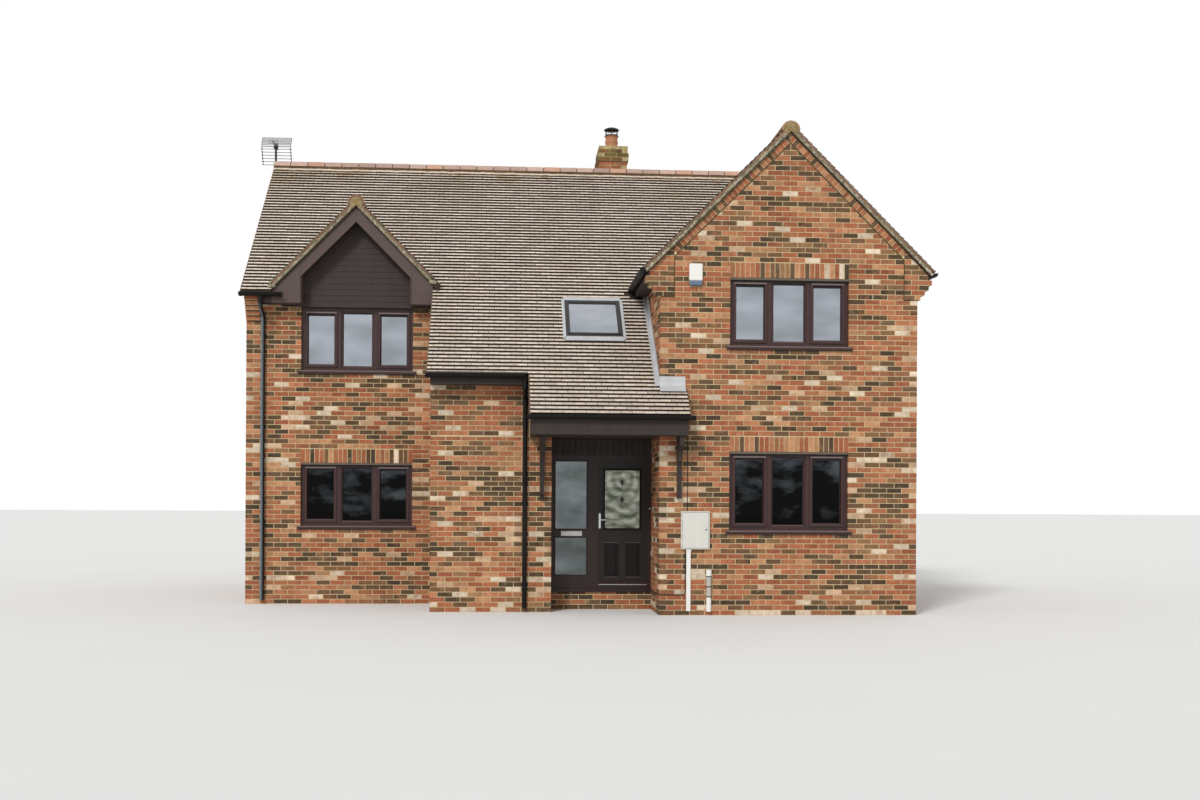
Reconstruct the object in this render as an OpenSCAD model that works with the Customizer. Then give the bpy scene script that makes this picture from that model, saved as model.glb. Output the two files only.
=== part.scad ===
// Detached two-storey brick house: a main range with its ridge from left to right,
// a gabled front wing, a half-dormer over the left bay and a porch under a catslide roof.
// Millimetres. X runs to the right, Y to the back and Z up. The origin is the middle of the
// walls' outline at the lowest ground level.

/* [House] */
// Width over the end walls
house_w = 10160; // [9600:10:11000]
// Depth from the wing's front wall to the rear wall
house_d = 8070; // [7800:10:9000]
// Thickness of the outer walls
wall_t = 300; // [250:10:330]
// Height of one brick course with its joint
course = 75; // [70:1:80]
// Width of the front wing
wing_w = 3810; // [3600:10:4000]
// Width of the left bay
left_bay_w = 2995; // [2900:5:3100]
// Set-back of the left bay behind the wing's front wall
left_back = 2250; // [2150:10:2400]
// Set-back of the middle bay behind the wing's front wall
mid_back = 600; // [500:10:700]
// Set-back of the front door behind the wing's front wall
door_back = 1130; // [1080:10:1250]

/* [Storeys] */
// Level of the ground floor
floor_z = 270; // [225:5:300]
// Level of the first floor
first_z = 2850; // [2800:10:2900]
// Thickness of the upper floor
floor_t = 200; // [150:10:250]

/* [Roofs] */
// Pitch of the main roof in degrees
main_pitch = 40; // [38:0.5:42]
// Height of the main roof's tiles over the left bay's front wall
main_plate_z = 5188; // [5100:2:5300]
// Pitch of the wing's roof in degrees
wing_pitch = 44.7; // [44:0.1:46]
// Height of the wing's tiles over its side walls
wing_plate_z = 5315; // [5250:5:5400]
// Pitch of the half-dormer's roof in degrees
dormer_pitch = 45.5; // [44:0.5:47]
// Height of the half-dormer's tiles at their ridge
dormer_ridge_z = 6410; // [6350:10:6450]
// Middle of the half-dormer, from the left end wall
dormer_from_left = 1740; // [1700:10:1780]
// Thickness of tiles, battens and boards together
roof_t = 90; // [80:5:110]
// Overhang of the tiles past a gable
verge = 45; // [30:5:60]
// Overhang of the main eaves
eaves = 295; // [250:5:320]
// Overhang of the wing's eaves
wing_eaves = 225; // [180:5:240]
// Radius of a ridge tile
ridge_r = 125; // [110:5:140]

/* [Windows] */
// Width of a window opening
window_w = 1770; // [1600:10:1900]
// Height of the smaller window openings
window_h = 1050; // [975:75:1125]
// Height of the wing's lower window opening
tall_window_h = 1200; // [1125:75:1275]
// Sill level of the ground-floor windows
lower_sill_z = 1200; // [1125:75:1275]
// Sill level of the wing's upper window
upper_sill_z = 3900; // [3825:75:3975]
// Sill level of the half-dormer's window
dormer_sill_z = 3675; // [3600:75:3750]
// Depth of a window frame behind the face of the wall
reveal = 60; // [40:5:90]
// Width of a frame member
frame_w = 50; // [40:2:60]
// Width of a mullion between two lights
mullion_w = 56; // [50:2:64]
// Width of a sash member
sash_w = 44; // [36:2:50]
// Depth of a frame from front to back
frame_d = 70; // [60:5:80]
// Thickness of the double glazing
glass_t = 24; // [20:1:28]

/* [Door] */
// Width of the door and its side light together
doorway_w = 1560; // [1500:10:1600]
// Height of the door frame
door_frame_h = 2090; // [2000:10:2150]
// Width of the door leaf
leaf_w = 764; // [740:2:800]
// Thickness of the door leaf
leaf_t = 50; // [44:1:56]
// Play between the leaf and its frame
door_gap = 5; // [4:0.5:7]

/* [Porch] */
// Width of the porch canopy
canopy_w = 2290; // [2200:10:2400]
// Projection of the canopy past the wing's front wall
canopy_out = 450; // [400:10:480]
// Lap of the canopy in front of the wing
canopy_lap = 387; // [300:1:420]
// Level of the underside of the canopy
canopy_z = 2610; // [2580:10:2650]

/* [Hidden] */

x_left = -house_w / 2;
x_right = house_w / 2;
x_wing = x_right - wing_w;
x_wing_mid = x_right - wing_w / 2;
x_step = x_left + left_bay_w;
x_dormer = x_left + dormer_from_left;
x_door = x_wing - doorway_w;
y_front = -house_d / 2;
y_rear = house_d / 2;
y_left = y_front + left_back;
y_mid = y_front + mid_back;
y_door = y_front + door_back;
y_ridge = (y_left + y_rear) / 2;
ridge_z = main_plate_z + (y_rear - y_ridge) * tan(main_pitch);
wing_ridge_z = wing_plate_z + wing_w / 2 * tan(wing_pitch);
far = 12000;

// Roof slabs: vertical depth of the whole slab and of the tiles alone
tile_t = 25;
board_t = 25;
lip = 35;
seat = 0.3;
main_drop = roof_t / cos(main_pitch);
main_lip = tile_t / cos(main_pitch);
wing_drop = roof_t / cos(wing_pitch);
wing_lip = tile_t / cos(wing_pitch);
dormer_drop = roof_t / cos(dormer_pitch);
y_mid_eaves = y_mid - eaves;
y_left_eaves = y_left - eaves;

// Fascias, and the brick kneelers that close the ends of the boxed eaves
fascia_h = 180;
soffit_t = 10;
kneeler_w = 215;
kneeler_steps = [45, 90, 135, 180, 225];
kneeler_z = course * 60;
wing_kneeler_steps = [45, 110, 170, 218];
wing_kneeler_z = course * 62;
band_h = 140;
band_out = 12;
band_half = 1705;

// Half-dormer
dormer_head_z = dormer_sill_z + window_h;
dormer_half = 1310;
dormer_out = 290;
cladding_half = 1190;
cladding_out = 20;
barge_h = 232;
box_half = 850;
y_barge = y_left - eaves + lip;
box_z = main_z(y_barge) - main_lip - fascia_h;

// Porch
x_canopy_right = x_wing + canopy_lap;
x_canopy = x_canopy_right - canopy_w;
y_canopy = y_front - canopy_out;
y_porch = y_canopy + lip + board_t;
canopy_end = 20;
soffit_board = 18;
bracket_w = 64;
bracket_t = 70;
bracket_foot_z = 1685;
left_bracket_x = x_canopy + 200;
left_bracket_out = 850;
wing_bracket_x = x_wing + 280;
wing_bracket_out = 370;

// Windows
sill_t = 43;
sill_out = 35;
sill_horn = 50;
sash_out = 12;
glass_in = 40;
bead_w = 20;
rear_sill_z = upper_sill_z - 3 * course;
rooflight_x0 = x_wing - 1330;
rooflight_x1 = x_wing - 460;
rooflight_y0 = y_mid + 384;
rooflight_y1 = y_mid + 1150;
rooflight_frame = 55;
rooflight_out = 60;

// Front door, its frame and its side light
door_head_z = floor_z + door_frame_h;
door_frame_d = 75;
door_lip = 10;
stop_lap = 14;
latch_gap = 9;
leaf_x = x_wing - frame_w;
leaf_bottom_z = 405;
leaf_y = y_door + door_lip + door_gap;
mullion_x = leaf_x - leaf_w - door_gap - latch_gap;
side_x0 = x_door + 80;
side_x1 = x_door + 565;
side_zs = [[525, 1100], [1231, 2271]];
glass_x0 = leaf_x - door_gap - leaf_w + 100;
glass_x1 = leaf_x - door_gap - 120;
glass_z0 = 1239;
glass_z1 = 2138;
door_glass_t = 24;
panel_z0 = 496;
panel_z1 = 1018;
panel_w = 212;
panel_in = 8;
handle_x = leaf_x - door_gap - leaf_w + 40;
handle_z = 1355;
plate_w = 34;
plate_h = 230;
plate_t = 8;
lever_r = 9;
lever_l = 115;
lever_out = 45;
lever_up = 45;
hinge_r = 8;
hinge_y = y_door + door_frame_d + hinge_r;
hinge_x = leaf_x - door_gap / 2;
hinge_zs = [600, 1350, 2100];
knuckle_h = 49.7;

// Chimney
chimney_x0 = x_wing - 523;
chimney_x1 = x_wing - 12;
chimney_y0 = y_ridge + 340;
chimney_y1 = y_ridge + 1240;
chimney_mid_x = (chimney_x0 + chimney_x1) / 2;
chimney_mid_y = (chimney_y0 + chimney_y1) / 2;
chimney_foot_z = main_z(chimney_y1) - main_drop;
chimney_cap_z = ridge_z + 320;
chimney_top_z = ridge_z + 602;
pot_r = 116;
pot_h = 300;

// Gutters and downpipes
gutter_r = 56;
gutter_t = 4;
gutter_out = gutter_r + seat;
pipe_r = 34;
pipe_off = 50;
pipe_foot_z = 60;
gutter_past = 20;
left_gutter_w = 560;
left_pipe_x = x_left + 264;
mid_pipe_x = x_wing - 1956;
rear_pipe_in = 400;

// Fittings on the wing's front wall and on the ridge
meter_x = x_wing + 311;
meter_z = 964;
meter_w = 423;
meter_h = 557;
meter_out = 45;
meter_rim = 18;
duct_x = meter_x + 82;
duct_w = 65;
duct_out = 32;
pipe_cover_x = meter_x + 370;
pipe_cover_w = 81;
pipe_cover_z = 669;
alarm_x = x_wing + 411;
alarm_z = 4814;
alarm_w = 199;
alarm_h = 321;
alarm_base_h = 75;
alarm_out = 60;
mast_x = x_left - 25;
mast_r = 14;
boom_z = ridge_z + 370;
boom_half = 10;
rod_half = 265;
rod_r = 6;
rod_pitch = 28;

// Colours
brick = "#b0664a";
tile = "#a08a80";
joinery = "#4a2e2e";
boarding = "#5f4a48";
plastic = "#1c1c1e";

function main_z(y) = ridge_z - abs(y - y_ridge) * tan(main_pitch);
function wing_z(d) = wing_ridge_z - d * tan(wing_pitch);

// Outline in Y and Z, drawn out along X
module run_x(x0, x1) translate([x0, 0, 0]) rotate([90, 0, 90]) linear_extrude(x1 - x0) children();
// Outline in X and Z, drawn out along Y
module run_y(y0, y1) translate([0, y1, 0]) rotate([90, 0, 0]) linear_extrude(y1 - y0) children();
module block(x0, x1, y0, y1, z0, z1) translate([x0, y0, z0]) cube([x1 - x0, y1 - y0, z1 - z0]);

// Everything under the main roof, a given distance straight down from its tiles
module under_main(drop) run_x(x_left - 1000, x_right + 1000)
  polygon([[y_front - 1000, -10], [y_rear + 1000, -10],
    [y_rear + 1000, main_z(y_rear + 1000) - drop], [y_ridge, ridge_z - drop],
    [y_front - 1000, main_z(y_front - 1000) - drop]]);
// Everything under a gabled roof whose ridge runs from front to back
module under_gable(x_mid, top_z, pitch, half_w, y0) run_y(y0, y_ridge)
  polygon([[x_mid - half_w, -10], [x_mid + half_w, -10],
    [x_mid + half_w, top_z - half_w * tan(pitch)], [x_mid, top_z],
    [x_mid - half_w, top_z - half_w * tan(pitch)]]);
module under_wing(drop) under_gable(x_wing_mid, wing_ridge_z - drop, wing_pitch,
  wing_w / 2 + 500, y_front - 1000);
module under_dormer(drop) under_gable(x_dormer, dormer_ridge_z - drop, dormer_pitch,
  dormer_half + 90, y_left - 1000);

// A stretch of the front slope of the main roof, between two lines of Y
module front_slope(x0, x1, y0, y1) run_x(x0, x1)
  polygon([[y0, main_z(y0)], [y1, main_z(y1)], [y1, main_z(y1) - main_drop],
    [y0, main_z(y0) - main_drop]]);
// The same down to an eaves, where only the tiles pass over the fascia
module eaves_slope(x0, x1, y0, y1) {
  y_in = y0 + lip + board_t + seat;
  run_x(x0, x1)
    polygon([[y0, main_z(y0)], [y1, main_z(y1)], [y1, main_z(y1) - main_drop],
      [y_in, main_z(y_in) - main_drop], [y_in, main_z(y_in) - main_lip],
      [y0, main_z(y0) - main_lip]]);
}
// One slope of a gabled roof, from its ridge out to half_w on the side s
module gable_slope(x_mid, top_z, pitch, drop, half_w, s, y0) difference() {
  run_y(y0, y_ridge)
    polygon([[x_mid, top_z], [x_mid + s * half_w, top_z - half_w * tan(pitch)],
      [x_mid + s * half_w, top_z - half_w * tan(pitch) - drop], [x_mid, top_z - drop]]);
  under_main(-seat);
}
// One slope of the wing's roof, whose tiles alone pass over its fascia
module wing_slope(s) difference() {
  gable_slope(x_wing_mid, wing_ridge_z, wing_pitch, wing_drop, wing_w / 2 + wing_eaves, s,
    y_front - verge);
  translate([x_wing_mid, 0, 0]) mirror([s > 0 ? 0 : 1, 0, 0]) run_y(y_front - far, y_ridge + 1)
    wing_undercut(wing_w / 2 + wing_eaves - lip - board_t - seat);
}
module wing_undercut(d) polygon([[d, wing_z(d) - wing_lip], [d + far, wing_z(d + far) - wing_lip],
  [d + far, -far], [d, -far]]);

module window_hole(x_mid, w, y_face, s, sill_z, h)
  block(x_mid - w / 2, x_mid + w / 2, s > 0 ? y_face - 50 : y_face - wall_t - 50,
    s > 0 ? y_face + wall_t + 50 : y_face + 50, sill_z, sill_z + h);

// Floors
module ground_floor() color("#9a948c") {
  block(x_left + wall_t, x_right - wall_t, y_left + wall_t, y_rear - wall_t,
    0, floor_z);
  block(x_wing + wall_t, x_right - wall_t, y_front + wall_t, y_left + wall_t, 0, floor_z);
  block(x_step + wall_t, x_wing, y_door + wall_t, y_left + wall_t, 0, floor_z);
  block(x_step + wall_t, x_door - wall_t, y_mid + wall_t, y_door + wall_t, 0, floor_z);
}
module first_floor() color("#9a948c") {
  block(x_left + wall_t, x_right - wall_t, y_left + wall_t, y_rear - wall_t,
    first_z - floor_t, first_z);
  block(x_wing + wall_t, x_right - wall_t, y_front + wall_t, y_left + wall_t,
    first_z - floor_t, first_z);
}

// Walls
// Corbelled courses that close a boxed eaves, growing towards the front from the plane y
module kneeler(x0, y) for (i = [0:len(kneeler_steps) - 1])
  block(x0, x0 + kneeler_w, y - kneeler_steps[i], y, kneeler_z + i * course,
    kneeler_z + (i + 1) * course);
module kneeler_infill(x0, y) block(x0, x0 + kneeler_w, y - eaves + lip + board_t + seat, y,
  kneeler_z + len(kneeler_steps) * course, far);
module end_kneelers(x0) {
  kneeler(x0, y_left);
  kneeler_infill(x0, y_left);
  mirror([0, 1, 0]) kneeler(x0, -y_rear);
  mirror([0, 1, 0]) kneeler_infill(x0, -y_rear);
}
module left_gable_wall() color(brick) intersection() {
  union() {
    block(x_left, x_left + wall_t, y_left, y_rear, 0, far);
    end_kneelers(x_left);
  }
  under_main(main_drop + seat);
}
module right_gable_wall() color(brick) {
  intersection() {
    union() {
      block(x_right - wall_t, x_right, y_left, y_rear, 0, far);
      mirror([0, 1, 0]) kneeler(x_right - kneeler_w, -y_rear);
      mirror([0, 1, 0]) kneeler_infill(x_right - kneeler_w, -y_rear);
    }
    union() {
      under_main(main_drop + seat);
      under_wing(wing_drop + seat);
    }
  }
}
module rear_wall() color(brick) difference() {
  intersection() {
    block(x_left + wall_t, x_right - wall_t, y_rear - wall_t, y_rear, 0, far);
    under_main(main_drop + seat);
  }
  for (x = [x_dormer, x_wing_mid])
    for (z = [lower_sill_z, rear_sill_z])
      window_hole(x, window_w, y_rear, -1, z, window_h);
}
module left_bay_wall() color(brick) difference() {
  intersection() {
    block(x_left + wall_t, x_step + wall_t, y_left, y_left + wall_t, 0, far);
    under_main(main_drop + seat);
  }
  window_hole(x_dormer, window_w, y_left, 1, lower_sill_z, window_h);
  window_hole(x_dormer, window_w, y_left, 1, dormer_sill_z, window_h);
  block(x_dormer - cladding_half, x_dormer + cladding_half, y_left - 50, y_left + wall_t + 50,
    dormer_head_z, far);
}
module dormer_cladding() color(boarding) intersection() {
  union() {
    block(x_dormer - cladding_half, x_dormer + cladding_half, y_left - cladding_out,
      y_left + 100, dormer_head_z, far);
    block(x_dormer - dormer_half, x_dormer - cladding_half, y_left - cladding_out, y_left,
      box_z, far);
  }
  under_dormer(dormer_drop + seat);
}
module middle_side_wall() color(brick) intersection() {
  block(x_step, x_step + wall_t, y_mid, y_left, 0, far);
  under_main(main_drop + seat);
}
module middle_front_wall() color(brick) {
  intersection() {
    union() {
      block(x_step + wall_t, x_door, y_mid, y_mid + wall_t, 0, far);
      block(x_door - wall_t, x_door, y_mid + wall_t, y_door + wall_t, 0, far);
    }
    under_main(main_drop + seat);
  }
  block(x_door, x_wing, y_door, y_door + wall_t, 0, floor_z);
}
module door_head_wall() color(boarding) intersection() {
  block(x_door, x_wing, y_door, y_door + wall_t, door_head_z, far);
  under_main(main_drop + seat);
}
// Wing gable with its kneelers and the band of headers under its verges
module wing_side(s) translate([x_wing_mid, 0, 0]) mirror([s > 0 ? 0 : 1, 0, 0]) children();
module wing_kneeler() {
  n = len(wing_kneeler_steps);
  for (i = [0:n - 1])
    block(0, wing_w / 2 + wing_kneeler_steps[i], y_front, y_front + kneeler_w,
      wing_kneeler_z + i * course, wing_kneeler_z + (i + 1) * course);
  block(0, wing_w / 2 + wing_eaves - lip - board_t - seat, y_front, y_front + kneeler_w,
    wing_kneeler_z + n * course, far);
}
module wing_band() run_y(y_front - band_out, y_front)
  polygon([[0, wing_z(0) - wing_drop - seat], [band_half, wing_z(band_half) - wing_drop - seat],
    [band_half, wing_z(band_half) - wing_drop - band_h], [0, wing_z(0) - wing_drop - band_h]]);
module wing_front_wall() color(brick) {
  difference() {
    intersection() {
      union() {
        block(x_wing, x_right, y_front, y_front + wall_t, 0, far);
        wing_side(-1) wing_kneeler();
        wing_side(1) wing_kneeler();
      }
      under_wing(wing_drop + seat);
    }
    window_hole(x_wing_mid, window_w, y_front, 1, lower_sill_z, tall_window_h);
    window_hole(x_wing_mid, window_w, y_front, 1, upper_sill_z, window_h);
  }
  wing_side(-1) wing_band();
  wing_side(1) wing_band();
}
module wing_left_wall() color(brick) intersection() {
  block(x_wing, x_wing + wall_t, y_front + wall_t, y_left + wall_t, 0, far);
  under_wing(wing_drop + seat);
}
module wing_right_wall() color(brick) intersection() {
  block(x_right - wall_t, x_right, y_front + wall_t, y_left, 0, far);
  under_wing(wing_drop + seat);
}

// Roofs
module main_roof_front() color(tile) difference() {
  union() {
    eaves_slope(x_left - verge, x_step - verge, y_left_eaves, y_ridge);
    front_slope(x_step - verge, x_right + verge, y_left_eaves, y_ridge);
  }
  under_dormer(dormer_drop);
  intersection() {
    block(x_wing, x_right + 1000, y_front - 1000, y_rear, 0, far);
    under_wing(wing_drop);
  }
}
module main_roof_rear() color(tile) difference() {
  translate([0, 2 * y_ridge, 0]) mirror([0, 1, 0])
    eaves_slope(x_left - verge, x_right + verge, y_left_eaves, y_ridge);
  chimney_shaft();
}
module catslide_roof() color(tile) difference() {
  union() {
    eaves_slope(x_step - verge, x_canopy, y_mid_eaves, y_left_eaves);
    eaves_slope(x_canopy, x_wing, y_canopy, y_left_eaves);
    eaves_slope(x_wing, x_canopy_right, y_canopy, y_front);
  }
  block(rooflight_x0 + rooflight_frame, rooflight_x1 - rooflight_frame,
    rooflight_y0 + rooflight_frame, rooflight_y1 - rooflight_frame, 0, far);
}
module wing_roof_left() color(tile) wing_slope(-1);
module wing_roof_right() color(tile) wing_slope(1);
module dormer_roof_left() color(tile) gable_slope(x_dormer, dormer_ridge_z, dormer_pitch,
  dormer_drop, dormer_half, -1, y_left - dormer_out);
module dormer_roof_right() color(tile) gable_slope(x_dormer, dormer_ridge_z, dormer_pitch,
  dormer_drop, dormer_half, 1, y_left - dormer_out);
module ridge_tile(x, z, rise) translate([x, z + rise - ridge_r]) circle(r = ridge_r, $fn = 48);
module main_ridge() color(tile) difference() {
  run_x(x_left - verge, x_right + verge) ridge_tile(y_ridge, ridge_z, 85);
  under_main(-seat);
}
module wing_ridge() color(tile) difference() {
  run_y(y_front - verge, y_ridge) ridge_tile(x_wing_mid, wing_ridge_z, 41);
  under_wing(-seat);
  under_main(-seat);
}
module dormer_ridge() color(tile) difference() {
  run_y(y_left - dormer_out, y_ridge) ridge_tile(x_dormer, dormer_ridge_z, 30);
  under_dormer(-seat);
  under_main(-seat);
}

// Bargeboard with its boxed end on the side s of the half-dormer, out to half
function barge_z(d) = dormer_ridge_z - dormer_drop - seat - d * tan(dormer_pitch);
module bargeboard(s, half) {
  run_y(y_barge, y_barge + board_t)
    polygon([[x_dormer, barge_z(0)], [x_dormer + s * half, barge_z(half)],
      [x_dormer + s * half, box_z], [x_dormer + s * box_half, box_z],
      [x_dormer + s * box_half, barge_z(box_half) - barge_h], [x_dormer, barge_z(0) - barge_h]]);
  run_y(y_barge + board_t, y_left - cladding_out)
    polygon([[x_dormer + s * (box_half + board_t), barge_z(box_half + board_t) - 1],
      [x_dormer + s * (box_half + board_t), box_z + soffit_t],
      [x_dormer + s * half, box_z + soffit_t], [x_dormer + s * half, box_z],
      [x_dormer + s * box_half, box_z], [x_dormer + s * box_half, barge_z(box_half) - 1]]);
}
module bargeboards() color(boarding) {
  bargeboard(-1, dormer_half);
  bargeboard(1, x_step - verge - x_dormer);
}

// Fascia and soffit of a boxed eaves in front of the plane y
module boxed_eaves(x0, x1, y) {
  y_out = y - eaves + lip;
  z = main_z(y_out) - main_lip - fascia_h;
  block(x0, x1, y_out, y_out + board_t, z, z + fascia_h - seat);
  block(x0, x1, y_out + board_t, y, z, z + soffit_t);
}
module fascia_end(x0, y) {
  y_out = y - eaves + lip;
  block(x0, x0 + kneeler_w, y_out, y_out + board_t,
    kneeler_z + len(kneeler_steps) * course, main_z(y_out) - main_lip - seat);
}
module wing_boxed_eaves(y1) {
  d = wing_w / 2 + wing_eaves - lip;
  z = wing_z(d) - wing_lip - fascia_h;
  block(d - board_t, d, y_front + kneeler_w, y1, z, z + fascia_h - seat);
  block(wing_w / 2, d - board_t, y_front + kneeler_w, y1, z, z + soffit_t);
  block(d - board_t, d, y_front, y_front + kneeler_w,
    wing_kneeler_z + len(wing_kneeler_steps) * course, z + fascia_h - seat);
}
module eaves_boards() color(boarding) {
  boxed_eaves(x_left + kneeler_w, x_dormer - dormer_half, y_left);
  fascia_end(x_left, y_left);
  boxed_eaves(x_step, x_canopy, y_mid);
  translate([0, 2 * y_ridge, 0]) mirror([0, 1, 0]) {
    boxed_eaves(x_left + kneeler_w, x_right - kneeler_w, y_left);
    fascia_end(x_left, y_left);
    fascia_end(x_right - kneeler_w, y_left);
  }
  difference() {
    wing_side(-1) wing_boxed_eaves(y_left);
    under_main(-seat);
  }
  wing_side(1) wing_boxed_eaves(y_left_eaves);
}

// Porch
module porch_canopy() color(boarding) {
  x0 = x_canopy + canopy_end;
  x1 = x_canopy_right - canopy_end;
  y_out = y_porch - board_t;
  block(x0, x1, y_out, y_porch, canopy_z, main_z(y_out) - main_lip - seat);
  block(x0, x_door, y_porch, y_mid, canopy_z, canopy_z + soffit_board);
  block(x_door, x_wing, y_porch, y_door, canopy_z, canopy_z + soffit_board);
  block(x_wing, x1, y_porch, y_front, canopy_z, canopy_z + soffit_board);
  end_cheek(x1 - board_t, y_front);
  end_cheek(x0, y_mid);
}
module end_cheek(x, y1) run_x(x, x + board_t)
  polygon([[y_porch, canopy_z + soffit_board], [y1, canopy_z + soffit_board],
    [y1, main_z(y1) - main_drop - seat],
    [y_porch + seat, main_z(y_porch + seat) - main_drop - seat],
    [y_porch, main_z(y_porch) - main_drop - seat]]);
// Bracket with a wall post, a bearer under the soffit and a curved brace between them
module bracket(x, y_wall, out, foot_z) run_x(x - bracket_w / 2, x + bracket_w / 2) {
  translate([y_wall - bracket_t, foot_z]) square([bracket_t, canopy_z - foot_z]);
  translate([y_wall - out, canopy_z - bracket_t]) square([out, bracket_t]);
  r = out - bracket_t;
  translate([y_wall - out, canopy_z - bracket_t - r]) intersection() {
    difference() {
      circle(r = r + 1, $fn = 96);
      circle(r = r - bracket_t, $fn = 96);
    }
    square([r + 1, r + 1]);
  }
}
module porch_brackets() color(boarding) {
  bracket(left_bracket_x, y_mid, left_bracket_out, bracket_foot_z);
  bracket(wing_bracket_x, y_front, wing_bracket_out, bracket_foot_z + 20);
}

// Three-light window: a fixed light between two side-hung casements
module window(x_mid, y_face, s, sill_z, h) {
  w = window_w;
  light = (w - 2 * frame_w - 2 * mullion_w) / 3;
  y_at = s > 0 ? y_face : -y_face;
  y0 = y_at + reveal;
  z0 = sill_z + sill_t;
  z1 = z0 + frame_w;
  light_h = sill_z + h - frame_w - z1;
  mirror([0, s > 0 ? 0 : 1, 0]) {
    run_y(y0, y0 + glass_in) difference() {
      translate([x_mid - w / 2, z0]) square([w, h - sill_t]);
      for (i = [0:2])
        translate([x_mid - w / 2 + frame_w + i * (light + mullion_w), z1])
          square([light, light_h]);
    }
    run_y(y0 + glass_in, y0 + frame_d) difference() {
      translate([x_mid - w / 2, z0]) square([w, h - sill_t]);
      translate([x_mid - w / 2 + frame_w, z1]) square([w - 2 * frame_w, light_h]);
    }
    for (i = [0:2])
      run_y(i == 1 ? y0 + bead_w : y0 - sash_out, y0 + glass_in)
        translate([x_mid - w / 2 + frame_w + i * (light + mullion_w), z1])
          ring(light, light_h, i == 1 ? bead_w : sash_w);
    block(x_mid - w / 2, x_mid + w / 2, y_at, y0 + frame_d, sill_z, z0);
    block(x_mid - w / 2 - sill_horn, x_mid + w / 2 + sill_horn, y_at - sill_out, y_at,
      sill_z, z0);
  }
}
module ring(w, h, t) difference() {
  square([w, h]);
  translate([t, t]) square([w - 2 * t, h - 2 * t]);
}
// Glass of one window, a single sheet behind its sashes
module pane(x_mid, y_face, s, sill_z, h) {
  y0 = s > 0 ? y_face + reveal + glass_in : y_face - reveal - glass_in - glass_t;
  block(x_mid - window_w / 2 + frame_w, x_mid + window_w / 2 - frame_w, y0, y0 + glass_t,
    sill_z + sill_t + frame_w, sill_z + h - frame_w);
}
module left_lower_window() color(joinery) window(x_dormer, y_left, 1, lower_sill_z, window_h);
module left_upper_window() color(joinery) window(x_dormer, y_left, 1, dormer_sill_z, window_h);
module wing_lower_window() color(joinery)
  window(x_wing_mid, y_front, 1, lower_sill_z, tall_window_h);
module wing_upper_window() color(joinery)
  window(x_wing_mid, y_front, 1, upper_sill_z, window_h);
module rear_windows() color(joinery)
  for (x = [x_dormer, x_wing_mid])
    for (z = [lower_sill_z, rear_sill_z]) window(x, y_rear, -1, z, window_h);
module glazing_lower() color("#8fa3ad", 0.5) {
  pane(x_dormer, y_left, 1, lower_sill_z, window_h);
  pane(x_wing_mid, y_front, 1, lower_sill_z, tall_window_h);
  for (x = [x_dormer, x_wing_mid]) pane(x, y_rear, -1, lower_sill_z, window_h);
  for (z = side_zs) block(side_x0, side_x1, y_door + 25, y_door + 25 + glass_t, z[0], z[1]);
}
module glazing_upper() color("#8fa3ad", 0.5) {
  pane(x_dormer, y_left, 1, dormer_sill_z, window_h);
  pane(x_wing_mid, y_front, 1, upper_sill_z, window_h);
  for (x = [x_dormer, x_wing_mid]) pane(x, y_rear, -1, rear_sill_z, window_h);
  rooflight_slab(rooflight_frame + seat, 20, 20 + glass_t);
}
// Roof window in the catslide, lying on the tiles
module rooflight_slab(inset, up0, up1) {
  y0 = rooflight_y0 + inset;
  y1 = rooflight_y1 - inset;
  run_x(rooflight_x0 + inset, rooflight_x1 - inset)
    polygon([[y0, main_z(y0) + up0], [y1, main_z(y1) + up0], [y1, main_z(y1) + up1],
      [y0, main_z(y0) + up1]]);
}
module roof_window() color("#3c3a38") difference() {
  rooflight_slab(0, seat, rooflight_out);
  rooflight_slab(rooflight_frame, -100, 200);
}

// Front door in its frame, which has a side light on the left
module door_frame() color(joinery) {
  difference() {
    run_y(y_door, y_door + door_frame_d) difference() {
      translate([x_door, floor_z]) square([doorway_w, door_frame_h]);
      translate([mullion_x + stop_lap, leaf_bottom_z - door_gap + stop_lap])
        square([leaf_x - mullion_x - 2 * stop_lap,
          door_head_z - frame_w - leaf_bottom_z + door_gap - 2 * stop_lap]);
      for (z = side_zs) translate([side_x0, z[0]]) square([side_x1 - side_x0, z[1] - z[0]]);
    }
    block(mullion_x, leaf_x, y_door + door_lip, y_door + door_frame_d + 1,
      leaf_bottom_z - door_gap, door_head_z - frame_w);
  }
  block(x_door, x_wing, y_door - 40, y_door, floor_z, floor_z + 45);
  knuckles(0);
  for (z = hinge_zs)
    block(hinge_x + 4, leaf_x + 30, y_door + door_frame_d, hinge_y, z, z + knuckle_h);
}
// Three hinges: the lower half of each on the frame, the upper half on the leaf
module knuckles(lift) for (z = hinge_zs)
  translate([hinge_x, hinge_y, z + lift]) cylinder(r = hinge_r, h = knuckle_h, $fn = 32);
module front_door() color("#241a1a") {
  difference() {
    run_y(leaf_y, leaf_y + leaf_t) difference() {
      translate([leaf_x - door_gap - leaf_w, leaf_bottom_z])
        square([leaf_w, door_head_z - frame_w - door_gap - leaf_bottom_z]);
      translate([glass_x0, glass_z0]) square([glass_x1 - glass_x0, glass_z1 - glass_z0]);
    }
    for (x = [glass_x0, glass_x1 - panel_w])
      run_y(leaf_y - 1, leaf_y + panel_in) translate([x, panel_z0])
        ring(panel_w, panel_z1 - panel_z0, 35);
  }
  knuckles(50);
  for (z = hinge_zs)
    block(leaf_x - door_gap - 30, hinge_x, leaf_y + leaf_t, hinge_y, z + 50, z + 50 + knuckle_h);
}
module door_glass() color("#8a9284", 0.6)
  block(glass_x0, glass_x1, leaf_y + 13, leaf_y + 13 + door_glass_t, glass_z0, glass_z1);
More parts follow.
